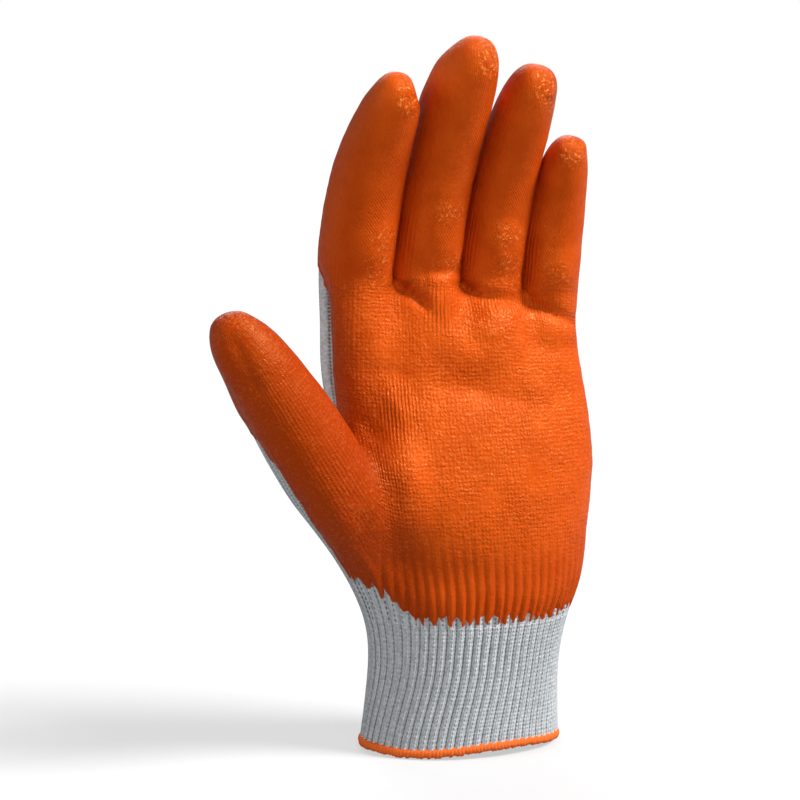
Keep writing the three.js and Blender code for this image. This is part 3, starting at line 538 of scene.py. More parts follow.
half_turn = FRONT + SIDE
for i, name in enumerate(FINGER_NAMES):
    tube = np.concatenate([finger_ids[i][None], net.add(finger_tube(i))])
    turn = np.concatenate([tube, tube[:, :1]], 1)
    length = FINGER_LENGTH * FINGERS["length"][i]
    course = (ROOT_HEIGHT + np.append(0, PROFILE["along"]) * length) / COURSE
    front_start = 1 + CELLS_PER_FINGER * i
    back_start = PALM_COLUMNS // 2 + CELLS_PER_FINGER * (3 - i)
    front_wale = WALES_PER_COLUMN * (front_start + np.arange(half_turn + 1))
    back_wale = WALES_PER_COLUMN * (back_start + np.arange(half_turn + 1))
    net.grid(turn[:, : half_turn + 1], front_wale[None], course[:, None], LABEL[name])
    net.grid(turn[:, half_turn:], back_wale[None], course[:, None], LABEL[name])
    tip = np.append(finger_line(i, np.ones(1))[0][0], length * (1 - FINGERS["tongue"][i]))
    close_tip(net, tube[-1], FRONT, SIDE, tip, front_wale[0], course[-1], LABEL[name])
print("fingers on the net:", len(finger_ids))

# %% [markdown]
# The hole's edge is the thumb's first ring, so palm and thumb share those points and no
# seam can open between them.

# %% Thumb on the net
THUMB_COURSES_FROM, THUMB_COURSES_LONG = 74, 115  # where its courses start, how far they run
rl, rh, cl, ch = HOLE["row_low"], HOLE["row_high"], HOLE["column_low"], HOLE["column_high"]
hole = np.concatenate([
    palm_ids[rl, np.arange(cl, ch)],
    palm_ids[np.arange(rl, rh), ch],
    palm_ids[rh, np.arange(ch, cl, -1)],
    palm_ids[np.arange(rh, rl, -1), cl],
])
thumb = np.concatenate([hole[None], net.add(thumb_tube(np.concatenate(net.points)[hole, :3]))])
thumb_turn = np.concatenate([thumb, thumb[:, :1]], 1)
thumb_share = np.append(0.1, THUMB["along"])
thumb_course = (THUMB_COURSES_FROM + thumb_share * THUMB_COURSES_LONG) / COURSE
thumb_wale = WALES_PER_COLUMN * (np.arange(len(hole) + 1) - 2)
net.grid(thumb_turn, thumb_wale[None], thumb_course[:, None], LABEL["thumb"])
thumb_tip = np.append(thumb_line(1.0)[0][0], THUMB_WIDTH)
thumb_size = (ch - cl, rh - rl)
close_tip(net, thumb[-1], *thumb_size, thumb_tip, thumb_wale[0], thumb_course[-1], LABEL["thumb"])
points, cells, stitches, labels = net.arrays()
print("cage:", len(points), "points,", len(cells), "cells")

# %% [markdown]
# Where the thumb's tube meets the palm the cells are uneven. Skin there is a taut web, and
# a few rounds of moving each point towards its neighbours' mean draw one.

# %% Relaxing the web between thumb and palm
def edges_of(cells):
    """All edges once, and for each cell corner the number of the edge that starts there."""
    pairs = np.stack([cells, np.roll(cells, -1, 1)], -1).reshape(-1, 2)
    return np.unique(np.sort(pairs, 1), axis=0, return_inverse=True)


def relax_web(points, cells, hole):
    """Points near the hole move towards the mean of their neighbours, the nearer the more."""
    points = points.copy()
    edges = edges_of(cells)[0]
    valence = np.bincount(edges.ravel(), minlength=len(points))[:, None]
    floor = PALM["height"][CUFF_ROWS] * ROOT_HEIGHT - 1
    for _ in range(WEB_ROUNDS):
        gap = np.linalg.norm(points[:, None, :3] - points[hole][None, :, :3], axis=-1).min(1)
        pull = WEB_PULL * np.clip(1 - gap / WEB_REACH, 0, 1) * (points[:, 2] >= floor)
        total = np.zeros((len(points), 3))
        np.add.at(total, edges[:, 0], points[edges[:, 1], :3])
        np.add.at(total, edges[:, 1], points[edges[:, 0], :3])
        points[:, :3] += pull[:, None] * (total / valence - points[:, :3])
    return points


relaxed = relax_web(points, cells, hole)
web_moved = np.linalg.norm(relaxed[:, :3] - points[:, :3], axis=1)
points = relaxed
print("web relaxed by up to", round(float(web_moved.max()), 1), "mm")

# %% [markdown]
# ## Smoothing the cage
#
# Blender's Subdivision Surface modifier would smooth the net too, but the stitch counts and
# the cover are needed at every fine point, to raise ribs and cut the latex edge. So the same
# Catmull-Clark rule is written out: each cell gets a middle point, each edge a point between
# its ends and its cells' middles, and each old point moves to a weighted mean.

# %% Catmull-Clark
def refine(points, cells, stitches, labels):
    """One step of Catmull-Clark on all four numbers of a point; stitches are halved along
    straight lines. The first and second corner of each new cell still lie along a course."""
    edges, at = edges_of(cells)
    at = at.reshape(-1, 4)
    middle = points[cells].mean(1)
    total = np.zeros((len(edges), 4))
    uses = np.bincount(at.ravel(), minlength=len(edges))[:, None]
    np.add.at(total, at.ravel(), np.repeat(middle, 4, 0))
    halfway = points[edges].mean(1)
    edge_point = np.where(uses > 1, (halfway * 2 + total) / 4, halfway)
    valence = np.bincount(edges.ravel(), minlength=len(points))[:, None]
    ring = np.zeros((len(points), 4))
    np.add.at(ring, edges[:, 0], halfway)
    np.add.at(ring, edges[:, 1], halfway)
    faces = np.zeros((len(points), 4))
    np.add.at(faces, cells.ravel(), np.repeat(middle, 4, 0))
    face_count = np.bincount(cells.ravel(), minlength=len(points))[:, None]
    moved = faces / face_count + 2 * ring / valence + (valence - 3) * points
    moved = np.where(face_count == valence, moved / valence, points)
    new_points = np.concatenate([moved, edge_point, middle])
    e = at + len(points)
    f = np.arange(len(cells)) + len(points) + len(edges)
    c = cells
    new_cells = np.stack([
        np.stack([c[:, 0], e[:, 0], f, e[:, 3]], -1),
        np.stack([e[:, 0], c[:, 1], e[:, 1], f], -1),
        np.stack([f, e[:, 1], c[:, 2], e[:, 2]], -1),
        np.stack([e[:, 3], f, e[:, 2], c[:, 3]], -1),
    ], 1).reshape(-1, 4)
    s = stitches
    se = (s + np.roll(s, -1, 1)) / 2
    sf = s.mean(1)
    new_stitches = np.stack([
        np.stack([s[:, 0], se[:, 0], sf, se[:, 3]], 1),
        np.stack([se[:, 0], s[:, 1], se[:, 1], sf], 1),
        np.stack([sf, se[:, 1], s[:, 2], se[:, 2]], 1),
        np.stack([se[:, 3], sf, se[:, 2], s[:, 3]], 1),
    ], 1).reshape(-1, 4, 2)
    return new_points, new_cells, new_stitches, np.repeat(labels, 4)


coarse = (points, cells, stitches, labels)
fine = coarse
for _ in range(3):
    fine = refine(*fine)
points, cells, stitches, labels = fine
print("after three steps:", len(cells), "cells")

# %% [markdown]
# Each step of smoothing pulls the points in a little more. A formula gives the place where
# endless steps would leave them, which makes the hand match the CAD part's solids.

# %% The smooth hand
def settle(points, cells):
    """Moves each point to where endless smoothing would bring it."""
    n = np.bincount(cells.ravel(), minlength=len(points))[:, None]
    near = np.zeros_like(points)
    for corner in range(4):
        np.add.at(near, cells[:, corner], 2 * points[cells[:, corner - 3]])
        np.add.at(near, cells[:, corner], 2 * points[cells[:, corner - 1]])
        np.add.at(near, cells[:, corner], points[cells[:, corner - 2]])
    return (n * n * points + near) / (n * (n + 5))


def outward(points, cells):
    """The mean direction, at each point, of the cross products of its cells' diagonals."""
    p = points[:, :3]
    across = np.cross(p[cells[:, 2]] - p[cells[:, 0]], p[cells[:, 3]] - p[cells[:, 1]])
    total = np.zeros_like(p)
    np.add.at(total, cells.ravel(), np.repeat(across, cells.shape[1], 0))
    return unit(total)


points = settle(points, cells)
normals = outward(points, cells)
print("smooth hand:", len(cells), "cells, height", round(float(points[:, 2].max()), 1), "mm")

# %% [markdown]
# ## One more cut across the wales
#
# Ribs and wales run up the hand, so points are needed mostly across them. Cutting each cell
# in two across its course, and not along it, gives a wale about five points and keeps the
# mesh half the size of another full step. Where a fingertip's cells meet the cut edges from
# the side, they take the new point as a fifth corner, so that no crack opens.

# %% Cut cells across the wales
def split_across(points, normals, cells, stitches, labels):
    """Triangles of the hand's cells, the cuff's left out, each cell cut halfway along its course.
    The new point leaves the chord by an eighth of the difference of its ends' slopes, as a smooth
    curve does."""
    hand = labels > 0
    cells, stitches, labels = cells[hand], stitches[hand], labels[hand]
    edges, at = edges_of(cells)
    at = at.reshape(-1, 4)
    cut = np.zeros(len(edges), bool)
    cut[at[:, 0]] = True
    cut[at[:, 2]] = True
    new_id = np.full(len(edges), -1)
    new_id[cut] = len(points) + np.arange(cut.sum())
    a, b = edges[cut].T
    chord = points[b, :3] - points[a, :3]
    slope = (chord * normals[b]).sum(-1, keepdims=True) * normals[b]
    slope = slope - (chord * normals[a]).sum(-1, keepdims=True) * normals[a]
    mid = (points[a] + points[b]) / 2
    mid[:, :3] += slope / 8
    all_points = np.concatenate([points, mid])
    all_normals = np.concatenate([normals, unit(normals[a] + normals[b])])
    low, high = new_id[at[:, 0]], new_id[at[:, 2]]
    s_low, s_high = stitches[:, :2].mean(1), stitches[:, 2:].mean(1)
    left, right = new_id[at[:, 3]], new_id[at[:, 1]]
    s_left = (stitches[:, 3] + stitches[:, 0]) / 2
    s_right = (stitches[:, 1] + stitches[:, 2]) / 2
    c = cells

    def tri(ids, spots, mask):
        """The triangles of one kind, for the cells that the mask names."""
        return np.stack(ids, -1)[mask], np.stack(spots, 1)[mask], labels[mask]

    s = stitches
    plain_left, plain_right = left < 0, right < 0
    pieces = [
        tri([c[:, 0], low, high], [s[:, 0], s_low, s_high], low >= 0),
        tri([c[:, 0], high, c[:, 3]], [s[:, 0], s_high, s[:, 3]], plain_left),
        tri([c[:, 0], high, left], [s[:, 0], s_high, s_left], ~plain_left),
        tri([left, high, c[:, 3]], [s_left, s_high, s[:, 3]], ~plain_left),
        tri([low, c[:, 1], high], [s_low, s[:, 1], s_high], plain_right),
        tri([c[:, 1], c[:, 2], high], [s[:, 1], s[:, 2], s_high], plain_right),
        tri([low, c[:, 1], right], [s_low, s[:, 1], s_right], ~plain_right),
        tri([low, right, high], [s_low, s_right, s_high], ~plain_right),
        tri([right, c[:, 2], high], [s_right, s[:, 2], s_high], ~plain_right),
    ]
    tris, spots, tags = (np.concatenate(x) for x in zip(*pieces))
    return all_points, all_normals, tris, spots, tags


hand_points, hand_normals, hand_tris, hand_spots, hand_labels = split_across(
    points, normals, cells, stitches, labels
)
print("hand triangles:", len(hand_tris))

# %% [markdown]
# ## Relief: ribs, wales and random unevenness
#
# Real knit is never flat. Ribs stand up on the cuff and fade out over the palm, each wale is
# a soft ridge with a groove on both sides, and nothing is quite even. These are added as
# heights along the surface's own outward direction. Random unevenness comes from a seeded
# lattice of random numbers, so every run gives the same glove.

# %% Random unevenness
LATTICE = 24  # the lattice repeats after so many steps


def lattice_noise(points, size, seed):
    """Random hills of about one size: random numbers on a cubic lattice, blended between
    its eight nearest corners with an eased step."""
    table = np.random.default_rng(seed).uniform(-1, 1, (LATTICE, LATTICE, LATTICE))
    place = points / size
    base = np.floor(place).astype(int)
    step = ease(place - base)
    total = np.zeros(len(points))
    for corner in np.ndindex(2, 2, 2):
        weight = np.prod(np.where(corner, step, 1 - step), -1)
        i, j, k = ((base + corner) % LATTICE).T
        total += weight * table[i, j, k]
    return total


print("lattice of", LATTICE**3, "random numbers for each seed")

# %% [markdown]
# The cuff's ribs are the strongest relief. On the hem they stand a little aside of their
# place at the wrist, since the worn cuff twists, and above the wrist they fade out.

# %% Ribs and wales
LEAN_COLUMNS = 0.9  # how far, in cage columns, the ribs lean between hem and wrist
LEAN_HEIGHT = 34.0
RIB_FADE_LOW, RIB_FADE_HIGH = 52.0, 82.0


def rib_lean(height):
    """How far the ribs stand beside their place at the wrist, in cage columns."""
    return -LEAN_COLUMNS * (1 - ease(height / LEAN_HEIGHT))


def rib_height(phase):
    """A rounded rib with a narrow groove: 1 on the crest, at whole numbers, 0 in the groove."""
    return np.abs(np.cos(np.pi * phase)) ** 1.1


def rib_phase(wale, height):
    """Counts ribs round the wrist from the count of wales."""
    return (wale / WALES_PER_COLUMN - rib_lean(height)) * RIB_COUNT / PALM_COLUMNS


def rib_fade(height):
    """1 where ribs stand whole, on the cuff, and 0 where they are gone, on the palm."""
    return 1 - ease((height - RIB_FADE_LOW) / (RIB_FADE_HIGH - RIB_FADE_LOW))


def wale_groove(wale):
    """1 in the groove between two wales, at whole numbers, 0 on a wale's middle."""
    return np.abs(np.cos(np.pi * wale)) ** 3


print("height of a rib at its crest, halfway and in its groove:", rib_height(np.array([0, 0.25, 0.5])))

# %% [markdown]
# Stitch counts belong to the corners of triangles, since two wales can meet at a point where
# a finger joins the palm. Heights belong to points, so each takes the mean of its corners.

# %% Ribs and wales at each point
def corner_mean(values, tris, count):
    """The mean at each point of values that are given at triangle corners."""
    total = np.bincount(tris.ravel(), values.ravel(), count)
    return total / np.maximum(np.bincount(tris.ravel(), minlength=count), 1)


hand_z = hand_points[:, 2]
count = len(hand_points)
corner_z = hand_z[hand_tris]
hand_ribs = corner_mean(rib_height(rib_phase(hand_spots[..., 0], corner_z)), hand_tris, count)
hand_ribs_here = rib_fade(hand_z)
hand_grooves = corner_mean(wale_groove(hand_spots[..., 0]), hand_tris, count)
hand_wale = corner_mean(hand_spots[..., 0], hand_tris, count)
hand_course = corner_mean(hand_spots[..., 1], hand_tris, count)
hand_label = np.zeros(count, int)
hand_label[hand_tris.ravel()] = np.repeat(hand_labels, 3)
print("points with ribs:", int((hand_ribs_here > 0).sum()), "of", count)

# %% [markdown]
# ## Folds, fan lines and puckers
#
# A worn glove folds where fingers bend and bulges where flesh pushes. A sculptor would draw
# these by hand. Here each fold is a short line of points on the palm side, and the surface
# sinks or rises along it in a bell curve. Patches are ovals in which something happens:
# the coat puckers and shines, or the knit's wales show through as fine lines.

# %% [markdown]
# Folds are easiest to place as the eye sees them. So a place on the palm side is given in
# millimetres across and up, as seen from a little to the thumb's side, and not on the mesh.

# %% How the palm is seen
VIEW_TURN, VIEW_RISE = np.radians(-15.0), np.radians(7.5)
VIEW_DISTANCE = 900.0
VIEW_HEIGHT = 110.0  # height of the spot that the palm is seen from level with
view_back = np.array([
    np.sin(VIEW_TURN) * np.cos(VIEW_RISE),
    -np.cos(VIEW_TURN) * np.cos(VIEW_RISE),
    np.sin(VIEW_RISE),
])
view_right = np.array([np.cos(VIEW_TURN), np.sin(VIEW_TURN), 0])
view_up = np.cross(view_back, view_right)


def across_and_up(places):
    """Place on the palm side as seen from a little to the thumb's side, in millimetres
    across and up from a spot 110 mm above the hem, with perspective."""
    away = places - np.array([0, 0, VIEW_HEIGHT])
    nearer = 1 / (1 - away @ view_back / VIEW_DISTANCE)
    return np.stack([away @ view_right, away @ view_up], -1) * nearer[:, None]


def along_line(seen, path, width, taper):
    """1 on a line of points, falling off beside it as a bell curve, easing in at its ends."""
    best = np.full(len(seen), np.inf)
    run = np.zeros(len(seen))
    start = 0.0
    for a, b in zip(path[:-1], path[1:]):
        a, b = np.array(a), np.array(b)
        length = np.linalg.norm(b - a)
        share = np.clip((seen - a) @ (b - a) / length**2, 0, 1)
        gap = ((seen - a - share[:, None] * (b - a)) ** 2).sum(-1)
        run = np.where(gap < best, start + share * length, run)
        best = np.minimum(gap, best)
        start += length
    ends = ease(run / taper + 0.25) * ease((start - run) / taper + 0.25)
    soft, sharp = np.exp(-best / width**2), np.exp(-best / (0.4 * width) ** 2)
    return (0.6 * soft + 0.4 * sharp) * ends


OVAL_STEEPNESS = 1.3  # above 1 it gives the hill a flat top


def in_oval(seen, centre, reach):
    """A round hill over an oval: an eased step of the distance in shares of its reach."""
    far = np.linalg.norm((seen - np.array(centre)) / np.array(reach), axis=-1)
    return ease(OVAL_STEEPNESS - OVAL_STEEPNESS * far)


print("palm seen from", [round(float(c), 2) for c in view_back])

# %% [markdown]
# The deep creases lie where the fingers' roots bend. Wide shallow lines round them are the
# folds of the palm, and the ball of the thumb and the heel push out as bulges.

# %% Folds and bulges
FOLDS = [  # height of the fold, its width, then its points
    (-3.0, 2.3, [(-23.0, 50.5), (-17.0, 47.5), (-10.7, 42.4)]),
    (-2.8, 2.3, [(-1.2, 51.0), (6.9, 47.0), (15.5, 45.4), (20.4, 45.0)]),
    (-2.5, 2.7, [(20.4, 45.2), (28.6, 42.1), (41.0, 36.5)]),
    (-0.8, 1.3, [(-14.0, 54.0), (-7.6, 55.4), (-0.6, 55.8)]),
    (0.9, 2.4, [(-13.1, 51.6), (-7.2, 52.6), (-1.0, 53.0)]),
    (-0.8, 4.6, [(-36.0, 20.4), (-26.2, 20.7), (-15.0, 18.6)]),
    (-1.7, 6.5, [(-38.0, 6.0), (-31.0, 0.0), (-25.0, -3.0)]),
    (-1.5, 6.5, [(-14.0, 14.6), (-1.0, 16.0), (13.1, 12.0), (28.0, 9.0)]),
    (-0.7, 4.0, [(22.0, 31.2), (32.1, 28.3), (42.0, 29.7)]),
    (1.2, 5.5, [(-26.0, 16.0), (-22.5, 8.0), (-18.0, -1.0)]),
    (-4.0, 9.0, [(-50.0, 58.0), (-50.0, 30.0), (-49.0, -4.0)]),
    (-0.8, 14.0, [(-34.0, -42.0), (-10.0, -50.0), (14.0, -50.0)]),
]
THUMB_FOLDS = [
    (-1.0, 5.5, [(-80.5, 34.0), (-76.0, 24.8), (-70.0, 12.0)]),
    (-0.9, 8.0, [(-84.0, 16.0), (-68.0, -6.0), (-50.0, -30.0)]),
]
BULGES = [  # height of the bulge, its middle and its reach
    (1.4, (-6.5, 46.0), (8.0, 9.0)),
    (0.9, (9.7, 37.3), (11.0, 7.0)),
    (1.2, (-27.0, 61.0), (12.0, 15.0)),
    (1.3, (15.4, 63.0), (10.0, 12.0)),
    (1.0, (-5.0, 68.0), (10.0, 14.0)),
    (0.7, (33.0, 54.0), (9.0, 14.0)),
    (3.2, (2.0, -16.0), (46.0, 38.0)),
    (1.5, (6.0, 29.0), (18.0, 13.0)),
    (4.0, (-24.0, -22.0), (16.5, 28.0)),
    (1.0, (-18.0, -22.0), (22.0, 26.0)),
]
print("folds:", len(FOLDS) + len(THUMB_FOLDS), "bulges:", len(BULGES))

# %% [markdown]
# The coat puckers and shines on the fingertips and between the folds, where it is thick and
# was bent while it set. Where it was stretched thin, the wales show through it as lines.

# %% Puckers and lined patches
PUCKERS = [  # strength, middle and reach of a patch where the coat puckers and shines
    (1.0, (-19.0, 115.8), (6.4, 10.0)),
    (1.0, (8.6, 129.0), (6.6, 10.5)),
    (1.0, (28.8, 118.6), (7.4, 11.0)),
    (1.0, (38.0, 96.8), (6.4, 7.6)),
    (0.75, (-27.6, 67.6), (6.0, 6.4)),
    (0.6, (-29.7, 57.0), (7.0, 10.5)),
    (0.75, (-4.6, 75.6), (6.4, 6.4)),
    (0.6, (-4.0, 58.0), (8.0, 6.0)),
    (0.75, (15.9, 68.0), (6.4, 6.8)),
    (0.6, (15.4, 57.0), (6.6, 9.0)),
    (0.5, (32.8, 55.5), (6.5, 6.0)),
    (0.3, (10.0, 38.5), (14.0, 8.0)),
]
LINED = [  # strength, middle and reach of a patch where wales show as lines
    (0.6, (-6.9, 42.5), (8.0, 12.0)),
    (0.45, (-22.0, 7.0), (9.0, 15.0)),
    (0.18, (-42.0, -12.4), (26.0, 18.0)),
    (0.15, (-60.0, 8.0), (18.0, 24.0)),
    (0.45, (-43.0, 36.0), (9.0, 34.0)),
    (0.3, (-17.0, 66.0), (4.0, 16.0)),
    (0.3, (4.4, 66.0), (4.0, 16.0)),
    (0.4, (24.8, 62.0), (4.0, 16.0)),
    (0.3, (20.0, 44.0), (22.0, 5.0)),
]
print("puckers:", len(PUCKERS), "lined patches:", len(LINED))

# %% [markdown]
# A glove's outline is never as even as a formula. A few spots move by a millimetre or so,
# and neighbouring fingers, which press on each other, swell to close the gap between them.

# %% Nudges and neighbours
NUDGES = [  # finger or palm, middle and reach of a spot, and how far it moves across and up
    ("index", (-22.8, 122.0), (10, 12), (-0.3, 0.5)),
    ("index", (-13.5, 120.0), (7, 11), (-1.2, -0.9)),
    ("middle", (5.0, 136.0), (11, 12), (0.0, 0.1)),
    ("middle", (-10.0, 122.0), (12, 26), (-1.3, 0.3)),
    ("ring", (30.0, 125.0), (9, 12), (0.7, -0.4)),
    ("little", (42.0, 104.0), (6, 9), (1.7, -0.6)),
    ("thumb", (-84.0, 34.0), (9, 16), (-1.1, -0.3)),
    ("palm", (-51.0, 28.0), (9, 34), (0.9, 0.0)),
    ("palm", (44.0, 6.0), (11, 40), (1.3, 0.0)),
]
CLOSER = 0.75  # how much finger sides swell toward their neighbours
CLOSER_HEIGHT, CLOSER_REACH = 172, 34
FACING_FULL = 0.35  # how far a surface turns to the view before folds have their full height
THUMB_FOLDS_FROM, THUMB_FOLDS_OVER = 30, 12  # where the thumb's own folds take over, mm


def of_fingers(labels, names=FINGER_NAMES):
    """True for the points or cells of the named fingers."""
    return np.isin(labels, [LABEL[name] for name in names])


def reshape(places, normals, labels):
    """Moves the worn hand's points: tips and outline first, then finger sides toward each
    other, then bulges toward the palm's view and folds along the surface's normals."""
    seen = across_and_up(places)
    moved = places.copy()
    for name, centre, reach, (move_across, move_up) in NUDGES:
        here = labels != LABEL["thumb"] if name == "palm" else labels == LABEL[name]
        share = in_oval(seen, centre, reach) * here
        moved += share[:, None] * (move_across * view_right + move_up * view_up)
    sideways = normals[:, 0]
    outer = (labels == LABEL["index"]) & (sideways < 0)
    outer |= (labels == LABEL["little"]) & (sideways > 0)
    swell = CLOSER * ease((np.abs(sideways) - 0.35) / 0.4)
    swell = swell * bump_at(places[:, 2], CLOSER_HEIGHT, CLOSER_REACH)
    moved += normals * (swell * (of_fingers(labels) & ~outer))[:, None]
    seen = across_and_up(moved)
    lift = sum(height * along_line(seen, path, width, 2 * width) for height, width, path in FOLDS)
    bulge = sum(height * in_oval(seen, centre, reach) for height, centre, reach in BULGES)
    beyond = ease((-seen[:, 0] - THUMB_FOLDS_FROM) / THUMB_FOLDS_OVER)
    on_thumb = of_fingers(labels, ("thumb",)) * beyond
    thumb_lines = [h * along_line(seen, path, width, width) for h, width, path in THUMB_FOLDS]
    lift = lift * (1 - on_thumb) + sum(thumb_lines) * on_thumb
    shown = ease((normals @ view_back) / FACING_FULL)
    moved += view_back * (bulge * (1 - on_thumb) * shown)[:, None]
    return moved + normals * (lift * shown)[:, None]


before = hand_points[:, :3].copy()
hand_points[:, :3] = reshape(before, hand_normals, hand_label)
hand_moved = np.linalg.norm(hand_points[:, :3] - before, axis=1)
print("reshaped by up to", round(float(hand_moved.max()), 2), "mm")

# %% [markdown]
# A finish can't know where on a glove it is. So each point of the coat carries a few numbers
# for it: how much the coat puckers, shows lines and has a stitch grain, and how much painted
# shade darkens its orange. The grain is strongest on the palm. The painted shade is strongest
# on the thumb and the palm's thumb side, and fainter on the index finger's thumb side and the lower
# palm.

# %% Numbers for the coat's finish
facing = ease((hand_normals @ view_back) / FACING_FULL)
seen = across_and_up(hand_points[:, :3])
thumbward, upward = -seen[:, 0], seen[:, 1]


def patches(table):
    """The strongest of several oval patches at each point of the hand's palm side."""
    return facing * np.max([amount * in_oval(seen, c, r) for amount, c, r in table], 0)


hand_pucker, hand_lined = patches(PUCKERS), patches(LINED)
hand_coarse = 0.34 * lattice_noise(before, 2.6, 51) + 0.22 * lattice_noise(before, 1.4, 52)
ripple = ease(2 * hand_pucker - 1) * hand_coarse
hand_grain = 1 - 0.85 * of_fingers(hand_label) * ease((hand_z - 158) / 10)
hand_grain -= 0.4 * ease((thumbward - 36) / 16) * (hand_z < 150)
hand_grain *= 0.3 + 0.7 * ease((hand_z - 62) / 20)
# Painted shade that darkens the orange on the thumb and the palm's thumb side, less on the index
# finger's thumb side and the lower palm.
palm_painted_shade = ease((thumbward - 16 - 0.3 * upward) / 18)
palm_painted_shade = np.maximum(palm_painted_shade, 0.35 * ease((-upward - 34) / 14))
finger_painted_shade = 0.6 * ease((thumbward - 32 + 0.12 * (upward - 60)) / 8)
hand_painted_shade = palm_painted_shade + (finger_painted_shade - palm_painted_shade) * ease((hand_z - 150) / 24)
print("mean grain", round(float(hand_grain.mean()), 2), "deep", round(float(hand_painted_shade.mean()), 2))

# %% [markdown]
# ## Cutting the latex edge
#
# The dip line on a real glove isn't a clean curve: latex runs along the ribs and stops at a
# stitch, so the edge has small teeth. The cover number gives the smooth line. Teeth are
# added to it, and every triangle that the line crosses is cut, as scissors would.

# %% The cutter
def keep_above(level, tris, spots, fields):
    """Keeps the side of a triangle mesh where level is above nought. A triangle with one
    corner above is cut to a smaller one, one with two above to a four-sided rest. fields
    are arrays at the points, carried along to the new points on the cut."""
    above = level[tris] > 0
    number = above.sum(1)
    turned = []
    for odd_one in (1, 2):
        some = np.flatnonzero(number == odd_one)
        first = np.argmax(above[some] if odd_one == 1 else ~above[some], 1)
        order = (first[:, None] + np.arange(3)) % 3
        turned.append((some, order))
    crossing = []
    for some, order in turned:
        t = np.take_along_axis(tris[some], order, 1)
        crossing += [t[:, [0, 1]], t[:, [0, 2]]]
    pairs = np.concatenate(crossing)
    edges, at = np.unique(np.sort(pairs, 1), axis=0, return_inverse=True)
    at = at.reshape(-1) + len(level)
    share = (level[edges[:, 0]] / (level[edges[:, 0]] - level[edges[:, 1]]))[:, None]
    new_fields = []
    for field in fields:
        wide = field.reshape(len(field), -1)
        cut = wide[edges[:, 0]] * (1 - share) + wide[edges[:, 1]] * share
        new_fields.append(np.concatenate([wide, cut]).reshape((-1,) + field.shape[1:]))
    out_tris, out_spots = [tris[number == 3]], [spots[number == 3]]
    done = 0
    for (some, order), kind in zip(turned, (1, 2)):
        t = np.take_along_axis(tris[some], order, 1)
        s = np.take_along_axis(spots[some], order[..., None], 1)
        n = len(some)
        ab, ac = at[done : done + n], at[done + n : done + 2 * n]
        done += 2 * n
        la, lb, lc = level[t].T
        s_ab = s[:, 0] + (s[:, 1] - s[:, 0]) * (la / (la - lb))[:, None]
        s_ac = s[:, 0] + (s[:, 2] - s[:, 0]) * (la / (la - lc))[:, None]
        if kind == 1:
            out_tris.append(np.stack([t[:, 0], ab, ac], 1))
            out_spots.append(np.stack([s[:, 0], s_ab, s_ac], 1))
        else:
            out_tris += [np.stack([ab, t[:, 1], t[:, 2]], 1), np.stack([ab, t[:, 2], ac], 1)]
            out_spots += [np.stack([s_ab, s[:, 1], s[:, 2]], 1), np.stack([s_ab, s[:, 2], s_ac], 1)]
    out_tris, out_spots = np.concatenate(out_tris), np.concatenate(out_spots)
    used, tidy = np.unique(out_tris, return_inverse=True)
    return tidy.reshape(-1, 3), out_spots, [f[used] for f in new_fields]


# %% [markdown]
# A mesh could be built from Python lists, point by point. With half a million triangles it
# is much quicker to hand over whole arrays, which foreach_set does.

# %% Making meshes
def make_piece(name, places, tris, spots=None, values=None):
    """A Blender object from points in millimetres and triangles, with its stitch counts as
    the UV map and named numbers at its points as attributes."""
    mesh = bpy.data.meshes.new(name)
    mesh.vertices.add(len(places))
    mesh.vertices.foreach_set("co", (places * MM).astype(np.float32).ravel())
    mesh.loops.add(tris.size)
    mesh.loops.foreach_set("vertex_index", tris.astype(np.int32).ravel())
    mesh.polygons.add(len(tris))
    starts = np.arange(0, tris.size, tris.shape[1], dtype=np.int32)
    mesh.polygons.foreach_set("loop_start", starts)
    mesh.update(calc_edges=True)
    mesh.polygons.foreach_set("use_smooth", np.ones(len(tris), bool))
    if spots is not None:
        uv = mesh.uv_layers.new(name="stitches")
        uv.data.foreach_set("uv", spots.astype(np.float32).ravel())
    for key, numbers in (values or {}).items():
        attribute = mesh.attributes.new(key, "FLOAT", "POINT")
        attribute.data.foreach_set("value", numbers.astype(np.float32))
    mesh.validate()
    piece = bpy.data.objects.new(name, mesh)
    bpy.context.scene.collection.objects.link(piece)
    print(name, "points", len(mesh.vertices), "faces", len(mesh.polygons))
    return piece


# %% [markdown]
# ## The latex coat
#
# On the real glove the coat is a thin skin that has sunk into the knit: it shows the ribs
# and wales below it, has creases where the fingers bend, and ends in a thin lip. It is the
# hand's surface, lifted by the coat's thickness, with the lip dipping below the knit.

# %% Teeth along the edge
COAT_THICKNESS = 1.2
COAT_RAMP = 8.0  # how far inside its edge the coat has its whole thickness
LIP_HEIGHT = 0.45
LIP_WIDTH = 0.9
LIP_SINK = 0.3
BARE_SIDE = 2.2  # how far the latex edge stands back on the thumb's side of the palm
WRIST_TOOTH = 2.6
FINE_TOOTH = 0.5


def random_steps(index, seed):
    """One random number from -1 to 1 for each whole number."""
    table = np.random.default_rng(seed).uniform(-1, 1, 997)
    return table[np.floor(index).astype(int) % 997]


def edge_teeth():
    """Steps along the latex edge: tall at the wrist, where latex follows half a rib at a
    time, and a stitch high elsewhere."""
    phase = rib_phase(hand_wale, hand_z)
    tall = WRIST_TOOTH * (0.6 * random_steps(phase * 2, 3) + 0.5 * (hand_ribs - 0.5))
    fine = random_steps(hand_wale * 2 + 40 * hand_label, 5) + random_steps(hand_course * 1.2, 8)
    wrist = 1 - ease((hand_z - 62) / 14)
    return wrist * tall + FINE_TOOTH * fine * (1 - 0.5 * wrist)


